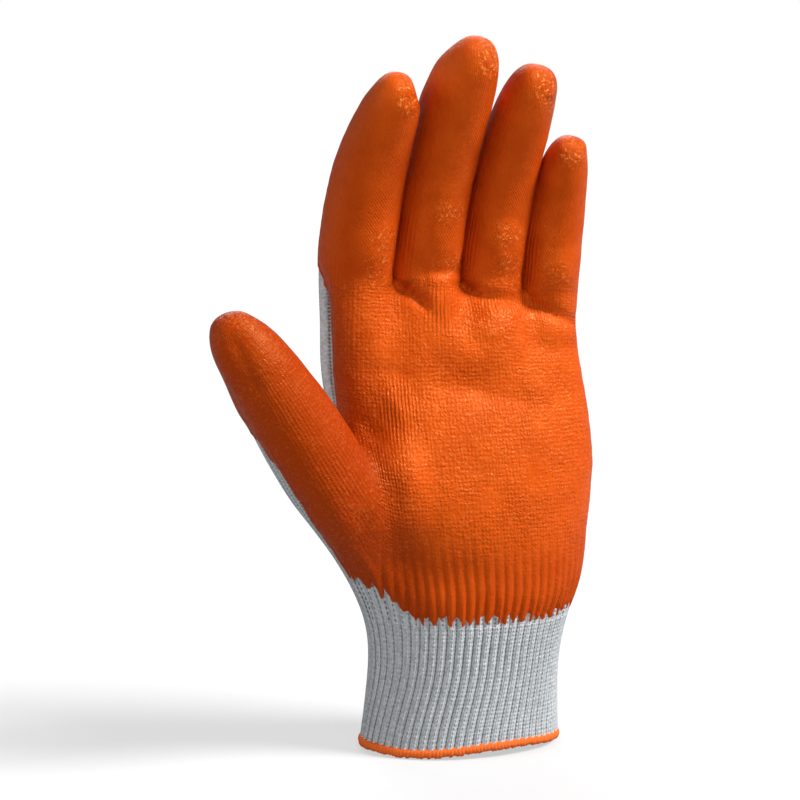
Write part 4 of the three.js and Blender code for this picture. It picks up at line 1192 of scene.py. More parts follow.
def thumb_side():
    """1 on the thumb's side of the palm and up to 2.2 beside the index finger's root, where
    less latex reached the side: a product of eased steps inward and up, gone at both ends."""
    side = ease((-hand_points[:, 0] - 36) / 6) * (hand_label != LABEL["thumb"])
    higher = 1 + 1.2 * ease((hand_z - 150) / 15)
    return side * higher * ease((hand_z - 116) / 12) * ease((208 - hand_z) / 16)


teeth = edge_teeth()
coat_level = hand_points[:, 3] + teeth - BARE_SIDE * thumb_side()
above_cuff = (hand_course - hand_course[hand_tris].min()) * COURSE
coat_level = np.minimum(coat_level, above_cuff - 0.8 * WRIST_TOOTH + teeth)
print("share of the hand that is coated:", round(float((coat_level > 0).mean()), 2))

# %% [markdown]
# The coat rises from a lip that dips into the knit, so that no gap shows under its edge.
# Ribs and wales show through it, as they do through the real skin.

# %% The coat's surface
THROUGH_COAT = 0.95  # how much of the ribs' depth shows through the coat


def coat_heights(level, ribs, ribs_here, grooves, lined, place):
    """Height of the coat above the smooth hand: a lip rising from the edge, then a slow rise
    to its whole thickness, the ribs and wales that show through, and soft unevenness."""
    lip = (LIP_HEIGHT + LIP_SINK) * ease(level / LIP_WIDTH) - LIP_SINK
    rise = (COAT_THICKNESS - LIP_HEIGHT) * ease(level / COAT_RAMP)
    through = -RIB_DEPTH * THROUGH_COAT * (1 - ribs) * ribs_here
    wales = -(0.02 + 0.1 * lined) * grooves * (1 - ribs_here)
    uneven = 0.14 * lattice_noise(place, 7, 11) + 0.04 * lattice_noise(place, 2.6, 12)
    return lip + rise + through + wales + uneven


coat_tris, coat_spots, coat_fields = keep_above(
    coat_level, hand_tris, hand_spots,
    [hand_points, hand_normals, coat_level, hand_ribs, hand_ribs_here, hand_grooves,
     hand_pucker, hand_lined, ripple, hand_grain, hand_painted_shade],
)
cp, cn, c_level, c_ribs, c_here, c_grooves = coat_fields[:6]
c_pucker, c_lined, c_ripple, c_grain, c_painted_shade = coat_fields[6:]
cn = unit(cn)
coat_height = c_ripple + coat_heights(c_level, c_ribs, c_here, c_grooves, c_lined, cp[:, :3])
coat_places = cp[:, :3] + cn * coat_height[:, None]
# The deep number carries painted shade to the finish.
coat = make_piece("latex_coat", coat_places, coat_tris, coat_spots,
                  {"level": c_level, "ribs": 1 - (1 - c_ribs) * c_here,
                   "pucker": c_pucker, "lined": c_lined, "grain": c_grain, "deep": c_painted_shade})

# %% [markdown]
# ## The knitted liner
#
# Only the knit that shows needs stitches: the back of the hand and a margin under the coat,
# to which it is bonded. The inside is a plainer skin one wall further in, seen through the
# wrist opening.

# %% The liner's outside
LINER_MARGIN = 4.0
WALE_DEPTH = 0.28


def liner_heights(ribs, ribs_here, grooves, place):
    """Height of the bare knit: ribs that fade out upwards, wale grooves that fade in."""
    through = -RIB_DEPTH * (1 - ribs) * ribs_here
    wales = -WALE_DEPTH * grooves * (1 - 0.8 * ribs_here)
    return through + wales + 0.06 * lattice_noise(place, 7, 21)


liner_tris, liner_spots, liner_fields = keep_above(
    LINER_MARGIN - coat_level, hand_tris, hand_spots,
    [hand_points, hand_normals, hand_ribs, hand_ribs_here, hand_grooves],
)
lp, ln, l_ribs, l_here, l_grooves = liner_fields
ln = unit(ln)
liner_places = lp[:, :3] + ln * liner_heights(l_ribs, l_here, l_grooves, lp[:, :3])[:, None]
print("liner outside:", len(liner_tris), "triangles")

# %% [markdown]
# The inside could be the outside turned round. It needs no ribs, so it is the cage smoothed
# one step less, moved in by the wall, with its cells turned to face inwards.

# %% The liner's inside
inside = coarse
for _ in range(2):
    inside = refine(*inside)
in_points = settle(inside[0], inside[1])
in_normals = outward(in_points, inside[1])
in_hand = inside[3] > 0
in_cells, in_stitches = inside[1][in_hand][:, ::-1], inside[2][in_hand][:, ::-1]
in_label = np.zeros(len(in_points), int)
in_label[inside[1]] = inside[3][:, None]
in_places = reshape(in_points[:, :3], in_normals, in_label) - in_normals * KNIT_WALL
in_tris = np.concatenate([in_cells[:, [0, 1, 2]], in_cells[:, [0, 2, 3]]])
in_spots = np.concatenate([in_stitches[:, [0, 1, 2]], in_stitches[:, [0, 2, 3]]])
used, tidy = np.unique(in_tris, return_inverse=True)
liner = make_piece(
    "knit_liner",
    np.concatenate([liner_places, in_places[used]]),
    np.concatenate([liner_tris, tidy.reshape(-1, 3) + len(liner_places)]),
    np.concatenate([liner_spots, in_spots]),
    {"ribs": np.concatenate([1 - (1 - l_ribs) * l_here, np.ones(len(used))])},
)

# %% [markdown]
# ## The ribbed cuff
#
# The cuff is the same knit with an elastic thread that draws it into ribs. It is a tube, so
# it is a function of two numbers, the rib round the wrist and the course up it: the smooth
# wrist at that spot, lowered in the grooves. The grid's lines run along the ribs, so each
# rib keeps its shape though it leans.

# %% The smooth wrist
wrist_rings = coarse[0][palm_ids[: CUFF_ROWS + 2], :3]
wrist_rings = np.concatenate([2 * wrist_rings[:1] - wrist_rings[1:2], wrist_rings])


def spline_weights(t):
    """The four weights of a cubic B-spline at a share of its span."""
    second, third = 3 * t**3 - 6 * t**2 + 4, -3 * t**3 + 3 * t**2 + 3 * t + 1
    return np.stack([(1 - t) ** 3, second, third, t**3]) / 6


def wrist_surface(column, row):
    """Points on the smooth wrist: B-spline weights of the nearest four by four points."""
    r = np.clip(np.floor(row).astype(int), 0, CUFF_ROWS - 1)
    c = np.floor(column).astype(int)
    up, turn = spline_weights(row - r), spline_weights(column - c)
    total = np.zeros(column.shape + (3,))
    for i in range(4):
        for j in range(4):
            total += (up[i] * turn[j])[..., None] * wrist_rings[r + i, (c - 1 + j) % PALM_COLUMNS]
    return total


def wrist_frame(column, row):
    """Points and outward directions on the smooth wrist, by small steps both ways."""
    step = 0.01
    top = np.clip(row, step, CUFF_ROWS - step)
    turn = wrist_surface(column + step, top) - wrist_surface(column - step, top)
    up = wrist_surface(column, top + step) - wrist_surface(column, top - step)
    return wrist_surface(column, row), unit(np.cross(turn, up))


row_samples = np.linspace(0, CUFF_ROWS, 61)
ring_heights = wrist_surface(np.zeros(len(row_samples)), row_samples)[:, 2]
cuff_top = float(ring_heights[-1])
print("cuff top at", round(cuff_top, 1), "mm")

# %% [markdown]
# A cuff pulled over a hand isn't cut level: its hem curls up on the thumb's side and rises
# under the palm. Between the ribs, single stitches show as small beads and slanting legs.

# %% Rows, hem line and stitches
def row_at(height):
    """The row at which the wrist has this height."""
    return np.interp(height, ring_heights, row_samples)


HEM_CURL = 0.6  # how far the hem curls up on the thumb's side
HEM_RISE = 2.2  # and how far it rises under the middle of the palm
HEM_LOW_X = -22.0
LEG_RELIEF, BEAD_RELIEF = 0.05, 0.08
print("the hem rises by", HEM_RISE, "mm under the palm, stitches stand up by", BEAD_RELIEF, "mm")


def hem_lift(x, height):
    """The hem isn't cut level: it curls up on the thumb's side and rises under the palm.
    Both fade up the cuff."""
    lift = HEM_CURL * ease((HEM_LOW_X - x) / 14) + HEM_RISE * bump_at(x, 12, 34)
    return lift * (1 - ease(height / 30)) ** 2


def cuff_stitch(phase, course):
    """Fine relief of the stitches: on each rib two slanting legs a course, in each groove
    a bead a course."""
    side = np.abs(phase - np.round(phase))
    leg = np.cos(2 * np.pi * (course - 2.2 * side)) * bump_at(side, 0.2, 0.24)
    bead = np.cos(2 * np.pi * course) * bump_at(side, 0.5, 0.17)
    return LEG_RELIEF * leg + BEAD_RELIEF * bead


def cuff_grid(phase, height, depth):
    """Places on the cuff at a rib phase and a height, moved in by a depth."""
    column = phase * PALM_COLUMNS / RIB_COUNT + rib_lean(height)
    places, out = wrist_frame(column, row_at(height))
    places = places - out * depth[..., None]
    places[..., 2] += hem_lift(places[..., 0], height)
    return places


# %% [markdown]
# The outside has twelve points to each rib, so that the rounded crest and the narrow groove
# both keep their form. The inside is a plainer tube of fewer loops, joined at the top.

# %% The cuff's ribs
RIB_POINTS = 12
CUFF_LOOPS = 104
INSIDE_EVERY = 12  # the inside takes one loop in so many
UNEVEN_RIBS = 0.25  # how much the depth of the grooves varies
STITCH_FADE = 5.0  # how far below the cuff's top its stitches fade

height, phase = np.meshgrid(
    np.linspace(HEM_HEIGHT - 0.8, cuff_top, CUFF_LOOPS),
    np.arange(RIB_COUNT * RIB_POINTS) / RIB_POINTS,
    indexing="ij",
)
course = height / COURSE
soft_places = np.stack([phase, height / 4, 0 * phase], -1).reshape(-1, 3)
soft = lattice_noise(soft_places, 3, 31).reshape(phase.shape)
stitch = cuff_stitch(phase, course) * ease((cuff_top - height) / STITCH_FADE)
depth = RIB_DEPTH * (1 - rib_height(phase)) * (1 + UNEVEN_RIBS * soft) - stitch
cuff_out = cuff_grid(phase, height, depth)
in_height, in_phase = height[::-INSIDE_EVERY], phase[::-INSIDE_EVERY]
cuff_in = cuff_grid(in_phase, in_height, np.full(in_phase.shape, KNIT_WALL + RIB_DEPTH))
cuff_in[0, :, 2] = cuff_out[-1, :, 2]


def tube_faces(loops, around):
    """Cells of a closed tube of loops, by number."""
    k = np.arange(loops * around).reshape(loops, around)
    right = np.roll(k, -1, 1)
    return np.stack([k[:-1], right[:-1], right[1:], k[1:]], -1).reshape(-1, 4)


def tube_spots(u, v):
    """The two stitch counts at the corners of each cell, with no jump where a loop closes."""
    wrap = u[:, :1] + (u[:, 1:2] - u[:, :1]) * u.shape[1]
    at = np.stack([np.concatenate([u, wrap], 1), np.concatenate([v, v[:, :1]], 1)], -1)
    return np.stack([at[:-1, :-1], at[:-1, 1:], at[1:, 1:], at[1:, :-1]], -2).reshape(-1, 4, 2)


cuff_places = np.concatenate([cuff_out, cuff_in])
cuff_course = np.concatenate([course, in_height / COURSE])
cuff_phase = np.concatenate([phase, in_phase])
cuff = make_piece(
    "ribbed_cuff",
    cuff_places.reshape(-1, 3),
    tube_faces(*cuff_phase.shape),
    tube_spots(cuff_phase, cuff_course),
    {"ribs": np.concatenate([rib_height(phase), 0 * in_phase]).ravel()},
)

# %% [markdown]
# ## The overlock hem
#
# An overlock machine wraps thread round the raw edge. Wound thread is a tube whose surface
# is a row of slanting ridges, so the hem is a rounded section carried round the wrist, with
# a ridge for each turn of the thread.

# %% The hem's wound thread
THREAD_TURNS = 150
THREAD_POINTS = 9
HEM_SECTION = 20
THREAD_RIDGE = 0.16
HEM_BAND = 3.4  # how tall the wound band is
HEM_FOOT = 0.35  # how far its lower edge clears the floor
THREAD_SLANT = 1.6

turns, around_section = np.meshgrid(
    np.arange(THREAD_TURNS * THREAD_POINTS) / THREAD_POINTS,
    np.arange(HEM_SECTION) / HEM_SECTION,
    indexing="ij",
)
angle = 2 * np.pi * around_section
hem_column = turns / THREAD_TURNS * PALM_COLUMNS
foot, foot_out = wrist_frame(hem_column, np.zeros(hem_column.shape))
foot_out[..., 2] = 0
foot_out = unit(foot_out)
turn_size = 1 + 2.2 * random_steps(turns + 0.5, 41) * np.maximum(0, -np.sin(angle))
ridge = np.abs(np.cos(np.pi * (turns + THREAD_SLANT * np.cos(angle) / 2))) ** 0.7
thick = (HEM_THICKNESS / 2 - THREAD_RIDGE) + THREAD_RIDGE * ridge * turn_size
tall = (HEM_BAND / 2 - THREAD_RIDGE) + THREAD_RIDGE * ridge * turn_size
hem_places = foot + foot_out * (thick * np.cos(angle) - (KNIT_WALL + RIB_DEPTH) / 2)[..., None]
hem_places[..., 2] = HEM_BAND / 2 + HEM_FOOT + tall * np.sin(angle) + hem_lift(foot[..., 0], 0)
hem_places[..., 2] += 0.15 * lattice_noise(foot.reshape(-1, 3), 9, 43).reshape(turns.shape)
k = np.arange(turns.size).reshape(turns.shape)
ahead, beside = np.roll(k, -1, 0), np.roll(k, -1, 1)
hem_faces = np.stack([k, ahead, np.roll(ahead, -1, 1), beside], -1).reshape(-1, 4)
t_next, a_next = turns + 1 / THREAD_POINTS, around_section + 1 / HEM_SECTION
hem_spots = np.stack([
    np.stack([turns, around_section], -1), np.stack([t_next, around_section], -1),
    np.stack([t_next, a_next], -1), np.stack([turns, a_next], -1),
], -2).reshape(-1, 4, 2)
hem = make_piece("hem_thread", hem_places.reshape(-1, 3), hem_faces, hem_spots,
                 {"ridge": ridge.ravel()})

# %% [markdown]
# ## Materials
#
# Each finish is worked out at every point that the camera sees, from the stitch counts in
# the UV map and from the place on the glove, with no picture files. A small helper adds the
# nodes, so that a formula can be read as a formula.

# %% A helper for node formulas
class Finish:
    """A node material under construction."""

    def __init__(self, name, color, roughness):
        self.material = bpy.data.materials.new(name)
        self.material.use_nodes = True
        self.tree = self.material.node_tree
        self.shader = self.tree.nodes["Principled BSDF"]
        self.shader.inputs["Base Color"].default_value = (*color, 1)
        self.shader.inputs["Roughness"].default_value = roughness

    def node(self, kind, **settings):
        """A new node of a kind, with its settings."""
        made = self.tree.nodes.new(kind)
        for key, value in settings.items():
            setattr(made, key, value)
        return made

    def put(self, socket, value):
        """Joins a node's output to a socket, or writes a plain number into it."""
        if isinstance(value, bpy.types.NodeSocket):
            self.tree.links.new(value, socket)
        else:
            socket.default_value = value

    def math(self, operation, *values):
        """A Math node: the operation on one, two or three values."""
        made = self.node("ShaderNodeMath", operation=operation)
        for socket, value in zip(made.inputs, values):
            self.put(socket, value)
        return made.outputs[0]

    def range(self, value, low, high, to_low=0.0, to_high=1.0):
        """A smooth step of a value from low to high."""
        made = self.node("ShaderNodeMapRange", interpolation_type="SMOOTHSTEP")
        for socket, number in zip(made.inputs, (value, low, high, to_low, to_high)):
            self.put(socket, number)
        return made.outputs[0]

    def stitches(self):
        """Wale and course counts from the UV map."""
        uv = self.node("ShaderNodeUVMap", uv_map="stitches")
        apart = self.node("ShaderNodeSeparateXYZ")
        self.put(apart.inputs[0], uv.outputs[0])
        return apart.outputs[0], apart.outputs[1]

    def place(self):
        """Place on the glove, in metres."""
        return self.node("ShaderNodeTexCoord").outputs["Object"]

    def noise(self, vector, scale, detail, roughness, distortion=0.0):
        """Random hills from 0 to 1, about one over the scale in metres across."""
        made = self.node("ShaderNodeTexNoise")
        for key, value in (("Vector", vector), ("Scale", scale), ("Detail", detail),
                           ("Roughness", roughness), ("Distortion", distortion)):
            self.put(made.inputs[key], value)
        return made.outputs["Fac"]

    def wave(self, turns):
        """A cosine of so many turns: 1 at whole numbers, -1 halfway."""
        return self.math("COSINE", self.math("MULTIPLY", turns, 2 * np.pi))

    def number(self, name):
        """A number that the piece carries at its points."""
        return self.node("ShaderNodeAttribute", attribute_name=name).outputs["Fac"]

    def blend(self, share, first, second):
        """Mixes two colours by a share."""
        made = self.node("ShaderNodeMix", data_type="RGBA", clamp_factor=True)
        self.put(made.inputs["Factor"], share)
        for socket, color in ((made.inputs[6], first), (made.inputs[7], second)):
            self.put(socket, color if isinstance(color, bpy.types.NodeSocket) else (*color, 1))
        return made.outputs[2]

    def color(self, value):
        """Sets or joins the base colour."""
        self.put(self.shader.inputs["Base Color"], value)

    def raise_by(self, height, metres, strength):
        """Bump, where a height of 1 stands for so many metres."""
        bump = self.node("ShaderNodeBump")
        bump.inputs["Strength"].default_value = strength
        bump.inputs["Distance"].default_value = metres
        self.put(bump.inputs["Height"], height)
        self.put(self.shader.inputs["Normal"], bump.outputs[0])

    def dress(self, piece):
        """Gives the finish to a piece."""
        piece.data.materials.clear()
        piece.data.materials.append(self.material)


print("helper ready:", Finish.__doc__)

# %% [markdown]
# ## Knit
#
# A jersey stitch is a V: two slanting legs a wale, and a small hole between the wales at each
# course, which is given painted shade. The wale count's fraction says how far across the wale a
# point is, and the course count's fraction, pushed up by that distance, draws the slant.

# %% Stitch formulas
STITCH_SLANT = 0.9  # courses that a leg would rise across a whole wale


def stitch_pattern(finish, wale, course):
    """Returns the height of the yarn and the share of hole. Across is 0 on the wale's middle
    and 0.5 in its groove."""
    f = finish
    across = f.math("ABSOLUTE", f.math("SUBTRACT", f.math("FRACT", wale), 0.5))
    pushed = f.math("SUBTRACT", course, f.math("MULTIPLY", across, STITCH_SLANT))
    leg = f.math("MULTIPLY_ADD", f.wave(pushed), 0.5, 0.5)
    body = f.range(f.math("ABSOLUTE", f.math("SUBTRACT", across, 0.24)), 0.28, 0.05)
    height = f.math("MULTIPLY", f.math("MULTIPLY_ADD", leg, 0.55, 0.45), body)
    between = f.math("SUBTRACT", course, 0.45 * STITCH_SLANT + 0.5)
    rows = f.range(f.wave(between), -0.35, 0.5)
    hole = f.math("MULTIPLY", f.range(across, 0.33, 0.47), rows)
    return height, hole


print("a leg rises by", STITCH_SLANT / 2, "of a course from its wale's middle to the groove")

# %% [markdown]
# The yarn is a melange: pale and darker fibres spun together, which a fine noise mixes. On
# the liner the holes open in some places and close in others. On the cuff they only show
# towards the grooves, where the ribs are drawn apart and the light is lost. Low yarn, holes
# and the grooves between ribs get painted shade.

# %% The knit finishes
YARN_LIGHT = (0.56, 0.585, 0.6)
# The darker colours are both the melange's darker yarn and painted shade on low yarn. The near black
# is painted shade for holes and rib grooves.
LINER_DARK_YARN_AND_SHADE, CUFF_DARK_YARN_AND_SHADE = (0.4, 0.42, 0.44), (0.38, 0.4, 0.42)
KNIT_PAINTED_SHADE = (0.1, 0.11, 0.12)
KNIT_BUMP = 0.0003  # metres from the holes to the top of the yarn
FIBRE, MELANGE, CLOUD = 2200, 900, 45  # noise scales, fine to wide


def knit_finish(name, dark_yarn_and_shade, ribbed):
    """Grey yarn by the stitch pattern. Colour: the darker yarn colour mixed with the pale one by the
    melange, then painted shade on low yarn, in holes and in the grooves between ribs. Bump: yarn
    less hole plus fibre."""
    f = Finish(name, YARN_LIGHT, 0.92)
    f.shader.inputs["Sheen Weight"].default_value = 0.15
    f.shader.inputs["Specular IOR Level"].default_value = 0.25
    wale, course = f.stitches()
    if ribbed:
        wale = f.math("MULTIPLY", wale, 2.0)
    height, hole = stitch_pattern(f, wale, course)
    place = f.place()
    melange = f.noise(place, MELANGE, 3, 0.7)
    ribs = f.number("ribs")
    if ribbed:
        open_here = f.range(ribs, 0.75, 0.2, 0.15, 0.8)
    else:
        open_here = f.range(f.noise(place, CLOUD, 2, 0.5), 0.35, 0.62, 0.45, 1.0)
    base = f.blend(f.range(melange, 0.38, 0.6), dark_yarn_and_shade, YARN_LIGHT)
    # Painted shade: the darker colour on low yarn, then near black in the holes and in the grooves
    # between ribs.
    base = f.blend(f.math("MULTIPLY", f.range(height, 0.75, 0.1), 0.35), base, dark_yarn_and_shade)
    base = f.blend(f.math("MULTIPLY", hole, open_here), base, KNIT_PAINTED_SHADE)
    base = f.blend(f.range(ribs, 0.45, 0.0, 0.0, 0.4), base, KNIT_PAINTED_SHADE)
    f.color(base)
    fibre = f.noise(place, FIBRE, 2, 0.6)
    total = f.math("MULTIPLY_ADD", fibre, 0.18, height)
    total = f.math("SUBTRACT", total, f.math("MULTIPLY", hole, 0.6))
    f.raise_by(total, KNIT_BUMP, 0.8)
    return f


liner_finish = knit_finish("grey_knit", LINER_DARK_YARN_AND_SHADE, ribbed=False)
cuff_finish = knit_finish("grey_rib_knit", CUFF_DARK_YARN_AND_SHADE, ribbed=True)
print("knit nodes:", len(liner_finish.tree.nodes), len(cuff_finish.tree.nodes))

# %% [markdown]
# ## Latex
#
# Natural latex is a dense orange rubber with a soft shine. Its gloss breaks up where the
# coat crinkles, and the dips between stitches collect it, which gives the palm its grain.
# The grain is bump, since a bead for each stitch would need millions of triangles.

# %% The latex grain
LATEX_BUMP = 0.00042  # metres for a relief of 1
DRIFT, SLIP, PATCH, PEBBLE, CRINKLE = 260, 330, 60, 700, 850  # noise scales


def even_wave(finish, turns):
    """A cosine of so many turns, moved to run from 0 to 1."""
    return finish.math("MULTIPLY_ADD", finish.wave(turns), 0.5, 0.5)


def latex_beads(finish, place, wale, course):
    """A bead for each half wale and course: the product of a wave across and a wave up, both
    pushed about by a noise, so that no two beads are alike."""
    f = finish
    slip = f.math("SUBTRACT", f.noise(place, SLIP, 2, 0.5, 0.3), 0.5)
    half_wale = f.math("MULTIPLY", f.math("MULTIPLY_ADD", slip, 0.6, wale), 2)
    across = f.math("MULTIPLY_ADD", even_wave(f, half_wale), 0.75, 0.25)
    row = even_wave(f, f.math("MULTIPLY_ADD", slip, 1.3, course))
    return f.math("MULTIPLY", across, f.math("MULTIPLY_ADD", row, 0.8, 0.2))


def latex_relief(finish, place, pucker, lined, grain):
    """Returns the beads and the whole relief: beads in patches, plus pebbles everywhere, a
    faint twill where there is no grain, wale lines and the puckers' crinkle."""
    f = finish
    wale, course = f.stitches()
    bead = latex_beads(f, place, wale, course)
    patch = f.range(f.noise(place, PATCH, 3, 0.6), 0.35, 0.65, 0.4, 1.0)
    pebble = f.noise(place, PEBBLE, 3, 0.65, 0.4)
    plain = f.math("MULTIPLY", grain, f.math("MULTIPLY_ADD", lined, -0.8, 1.0))
    beads = f.math("MULTIPLY", f.math("MULTIPLY_ADD", bead, 0.48, pebble), plain)
    height = f.math("MULTIPLY_ADD", pebble, 0.55, f.math("MULTIPLY", beads, patch))
    slanted = f.math("MULTIPLY", f.math("MULTIPLY_ADD", course, 0.35, wale), 3)
    twill = f.math("MULTIPLY", f.wave(slanted), f.math("SUBTRACT", 1.0, grain))
    height = f.math("MULTIPLY_ADD", f.math("MULTIPLY", twill, patch), 0.13, height)
    drift = f.math("SUBTRACT", f.noise(place, DRIFT, 2, 0.5), 0.5)
    line = even_wave(f, f.math("MULTIPLY", f.math("MULTIPLY_ADD", drift, 0.3, wale), 2))
    height = f.math("MULTIPLY_ADD", f.math("MULTIPLY", line, lined), 1.1, height)
    crinkle = f.math("MULTIPLY", f.noise(place, CRINKLE, 3, 0.7, 0.8), pucker)
    return beads, f.math("MULTIPLY_ADD", crinkle, 1.5, height)


print("latex relief of 1 is", LATEX_BUMP / MM, "mm")

# %% [markdown]
# The orange isn't one colour: it clouds a little and pales at the thin edge, and painted
# shade darkens it on the thumb's side. Small highlights sit on the wet-looking puckers and,
# fainter, on the beads of the grain. They are painted in part, as a pale glint colour, because
# the bump alone gives fewer and fainter ones than real puckers do.

# %% The latex finish
ORANGE = (0.62, 0.078, 0.005)
ORANGE_LOW, ORANGE_HIGH = (0.54, 0.062, 0.003), (0.63, 0.08, 0.005)
ORANGE_PAINTED_SHADE, ORANGE_THIN, ORANGE_GLINT = (0.34, 0.031, 0.0012), (0.7, 0.14, 0.02), (0.9, 0.26, 0.055)
TONE, GLINT, GLOSS = 90, 900, 400  # noise scales


def latex_finish():
    """Orange clouded by a noise, then mixed with the painted shade, thin-edge and painted glint
    colours by their shares. Roughness is a noise, less where there is grain and much less on puckers."""
    f = Finish("orange_latex", ORANGE, 0.45)
    f.shader.inputs["Specular IOR Level"].default_value = 0.3
    f.shader.inputs["Specular Tint"].default_value = (1, 0.5, 0.1, 1)
    place = f.place()
    pucker, lined, grain = f.number("pucker"), f.number("lined"), f.number("grain")
    beads, height = latex_relief(f, place, pucker, lined, grain)
    f.raise_by(height, LATEX_BUMP, 1.0)
    base = f.blend(f.range(f.noise(place, TONE, 3, 0.6), 0.3, 0.7), ORANGE_LOW, ORANGE_HIGH)
    # Painted shade: the deep number darkens the orange on the thumb and the palm's thumb side.
    base = f.blend(f.math("MULTIPLY", f.number("deep"), 0.9), base, ORANGE_PAINTED_SHADE)
    thin = f.range(f.number("level"), 1.2, 0.0)
    base = f.blend(f.math("MULTIPLY", thin, 0.5), base, ORANGE_THIN)
    # Painted highlights: a pale glint colour on the puckers and, fainter, on the beads.
    glints = f.range(f.noise(place, GLINT, 2, 0.55, 0.5), 0.54, 0.66)
    share = f.math("MULTIPLY_ADD", pucker, 0.9, f.math("MULTIPLY", beads, 0.22))
    f.color(f.blend(f.math("MULTIPLY", glints, share), base, ORANGE_GLINT))
    rough = f.range(f.noise(place, GLOSS, 3, 0.6), 0.35, 0.7, 0.36, 0.55)
    rough = f.math("MULTIPLY_ADD", grain, -0.1, rough)
    f.put(f.shader.inputs["Roughness"], f.math("MULTIPLY_ADD", pucker, -0.32, rough))
    return f


coat_finish = latex_finish()
print("latex nodes:", len(coat_finish.tree.nodes))

# %% [markdown]
# ## Hem thread
#
# Overlock thread is soft, fluffy yarn: bright and matt, with painted shade a little darker
# between its turns. The turns are in the mesh already, so the painted shade follows their height.

# %% The thread finish
THREAD_LIGHT, THREAD_SHADE, THREAD_FUZZ = (0.8, 0.14, 0.02), (0.6, 0.08, 0.01), (0.85, 0.2, 0.04)
FUZZ = 2500  # noise scale
FUZZ_BUMP = 0.0002


def thread_finish():
    """Painted shade mixed with the thread's lit colour by the height of the turn, then with a paler
    fuzz by a noise.
    """
    f = Finish("orange_thread", THREAD_LIGHT, 0.8)
    f.shader.inputs["Specular IOR Level"].default_value = 0.2
    # Painted shade between the turns, by the ridge's height.
    base = f.blend(f.range(f.number("ridge"), 0.0, 0.6), THREAD_SHADE, THREAD_LIGHT)
    fuzz = f.noise(f.place(), FUZZ, 3, 0.6)
    f.color(f.blend(f.math("MULTIPLY", f.range(fuzz, 0.45, 0.7), 0.3), base, THREAD_FUZZ))
    f.raise_by(fuzz, FUZZ_BUMP, 0.6)
    return f


hem_finish = thread_finish()
finishes = (coat_finish, liner_finish, cuff_finish, hem_finish)
for finish, piece in zip(finishes, (coat, liner, cuff, hem)):
    finish.dress(piece)
print("materials:", [m.name for m in bpy.data.materials])

# %% [markdown]
# ## Pieces on the frame
#
# Each piece stands for one CAD solid, which stays in the part for collision but isn't
# shown, and hangs on the root body.

# %% Riding and replacing
for piece, node, slot in (
    (liner, "knit_hand", "liner_knit"),
    (cuff, "rib_cuff", "cuff_knit"),
    (coat, "latex_coating", "latex"),
    (hem, "overlock_hem", "hem_thread"),
):
    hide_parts(node)
    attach(piece, "root")
    print(piece.name, "stands for", node)

# %% [markdown]
# ## Camera, floor and light
#
# The camera stands a little to the thumb's side of the palm and a little above it, with a
# long lens, which draws the glove with little perspective. It uses the same directions as
# the folds above, so they lie where they were placed.

# %% Camera
CAMERA_DISTANCE = VIEW_DISTANCE * MM
FRAME_WIDTH = 0.276  # metres across the picture, at the glove
SENSOR = 36  # millimetres
AIM_LEFT, AIM_UP = 0.0207, 0.0107  # from the spot at VIEW_HEIGHT to the picture's middle, metres
aim = np.array([0, 0, VIEW_HEIGHT * MM]) - AIM_LEFT * view_right + AIM_UP * view_up
camera_data = bpy.data.cameras.new("camera")
camera = bpy.data.objects.new("camera", camera_data)
bpy.context.scene.collection.objects.link(camera)
camera_data.sensor_width = SENSOR
camera_data.lens = SENSOR * CAMERA_DISTANCE / FRAME_WIDTH
turned = np.eye(4)
turned[:3, 0], turned[:3, 1], turned[:3, 2] = view_right, view_up, view_back
turned[:3, 3] = aim + view_back * CAMERA_DISTANCE
camera.matrix_world = Matrix(turned.tolist())
bpy.context.scene.camera = camera
print("camera at", [round(float(c), 3) for c in turned[:3, 3]], "lens", round(camera_data.lens, 1))

# %% [markdown]
# The glove stands on a pale floor. A studio sweep would do, but a plain wide floor that is a
# little brighter to the camera than to the glove keeps the shadow and gives no grey line.

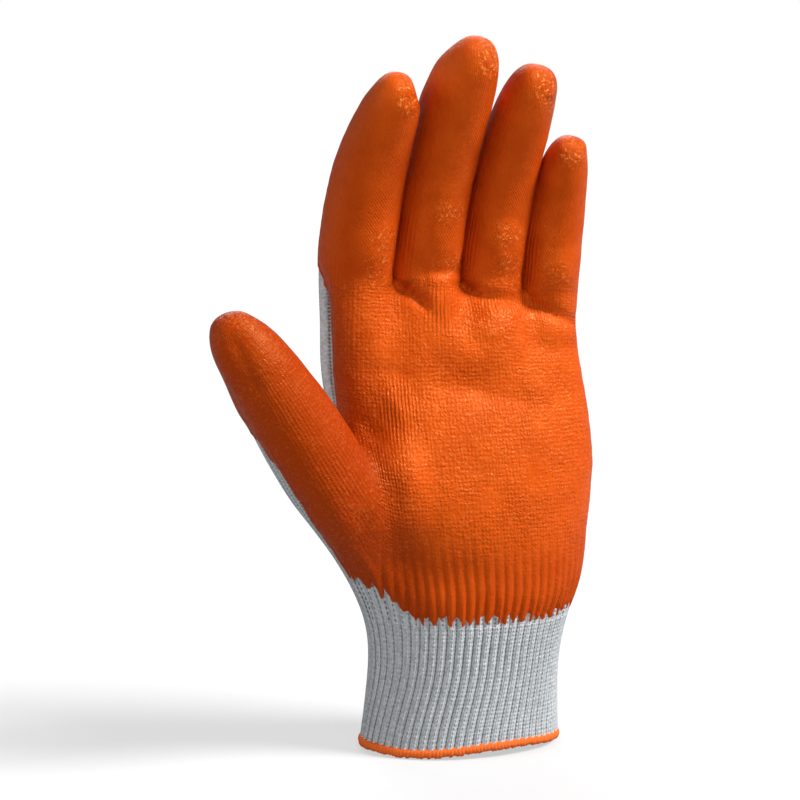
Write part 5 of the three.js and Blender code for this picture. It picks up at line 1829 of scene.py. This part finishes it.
# %% Floor
FLOOR_HALF = 6  # metres
FLOOR_PAINT, FLOOR_BOUNCE, FLOOR_GLOW = (0.28,) * 3, (0.2,) * 3, (0.55,) * 3
floor_mesh = bpy.data.meshes.new("floor")
floor_corners = [(FLOOR_HALF * x, FLOOR_HALF * y, 0) for x, y in ((-1, -1), (1, -1), (1, 1), (-1, 1))]
floor_mesh.from_pydata(floor_corners, [], [(0, 1, 2, 3)])
floor = bpy.data.objects.new("floor", floor_mesh)
bpy.context.scene.collection.objects.link(floor)
floor_paint = Finish("pale_floor", FLOOR_PAINT, 0.9)
seen_first = floor_paint.node("ShaderNodeLightPath").outputs["Is Camera Ray"]
floor_paint.color(floor_paint.blend(seen_first, FLOOR_BOUNCE, FLOOR_PAINT))
own_light = floor_paint.blend(seen_first, (0, 0, 0), FLOOR_GLOW)
floor_paint.put(floor_paint.shader.inputs["Emission Color"], own_light)
floor_paint.shader.inputs["Emission Strength"].default_value = 1.0
floor_paint.dress(floor)
print("floor:", 2 * FLOOR_HALF, "m wide")

# %% [markdown]
# The key light comes from high on the right and models the palm. A soft one in front opens
# the shadows, one behind lights the edges of the knit, and one from the left draws a rim.
# They are far lights, like the sun, so their light falls the same way on the whole glove.
# The room adds an even pale light, and is plain white where the camera sees it.

# %% Lights
ROOM_LIGHT = 0.22
WHITE = (1, 1, 1, 1)


def far_light(name, direction, strength, spread):
    """A lamp so far away that it lights everything alike, as wide as a soft box looks."""
    lamp = bpy.data.lights.new(name, "SUN")
    lamp.energy, lamp.angle = strength, np.radians(spread)
    box = bpy.data.objects.new(name, lamp)
    bpy.context.scene.collection.objects.link(box)
    away = unit(np.array(direction, float))
    side = unit(np.cross([0, 0, 1], away))
    turned = np.eye(4)
    turned[:3, 0], turned[:3, 1], turned[:3, 2] = side, np.cross(away, side), away
    turned[:3, 3] = away
    box.matrix_world = Matrix(turned.tolist())


far_light("key_light", (0.6, -0.36, 0.72), 4.7, 20)
far_light("front_light", (0.1, -0.95, 0.1), 1.0, 20)
far_light("back_light", (0.1, 0.8, 0.6), 0.9, 40)
far_light("rim_light", (-1.0, -0.1, 0.25), 1.0, 40)
room = bpy.data.worlds.new("room")
bpy.context.scene.world = room
room.use_nodes = True
sky = room.node_tree
glow = sky.nodes["Background"]
glow.inputs[0].default_value = WHITE
glow.inputs[1].default_value = ROOM_LIGHT
backdrop = sky.nodes.new("ShaderNodeBackground")
backdrop.inputs[0].default_value = WHITE
which = sky.nodes.new("ShaderNodeLightPath")
mixed = sky.nodes.new("ShaderNodeMixShader")
sky.links.new(which.outputs["Is Camera Ray"], mixed.inputs[0])
sky.links.new(glow.outputs[0], mixed.inputs[1])
sky.links.new(backdrop.outputs[0], mixed.inputs[2])
sky.links.new(mixed.outputs[0], sky.nodes["World Output"].inputs[0])
bpy.context.scene.view_settings.view_transform = "Standard"
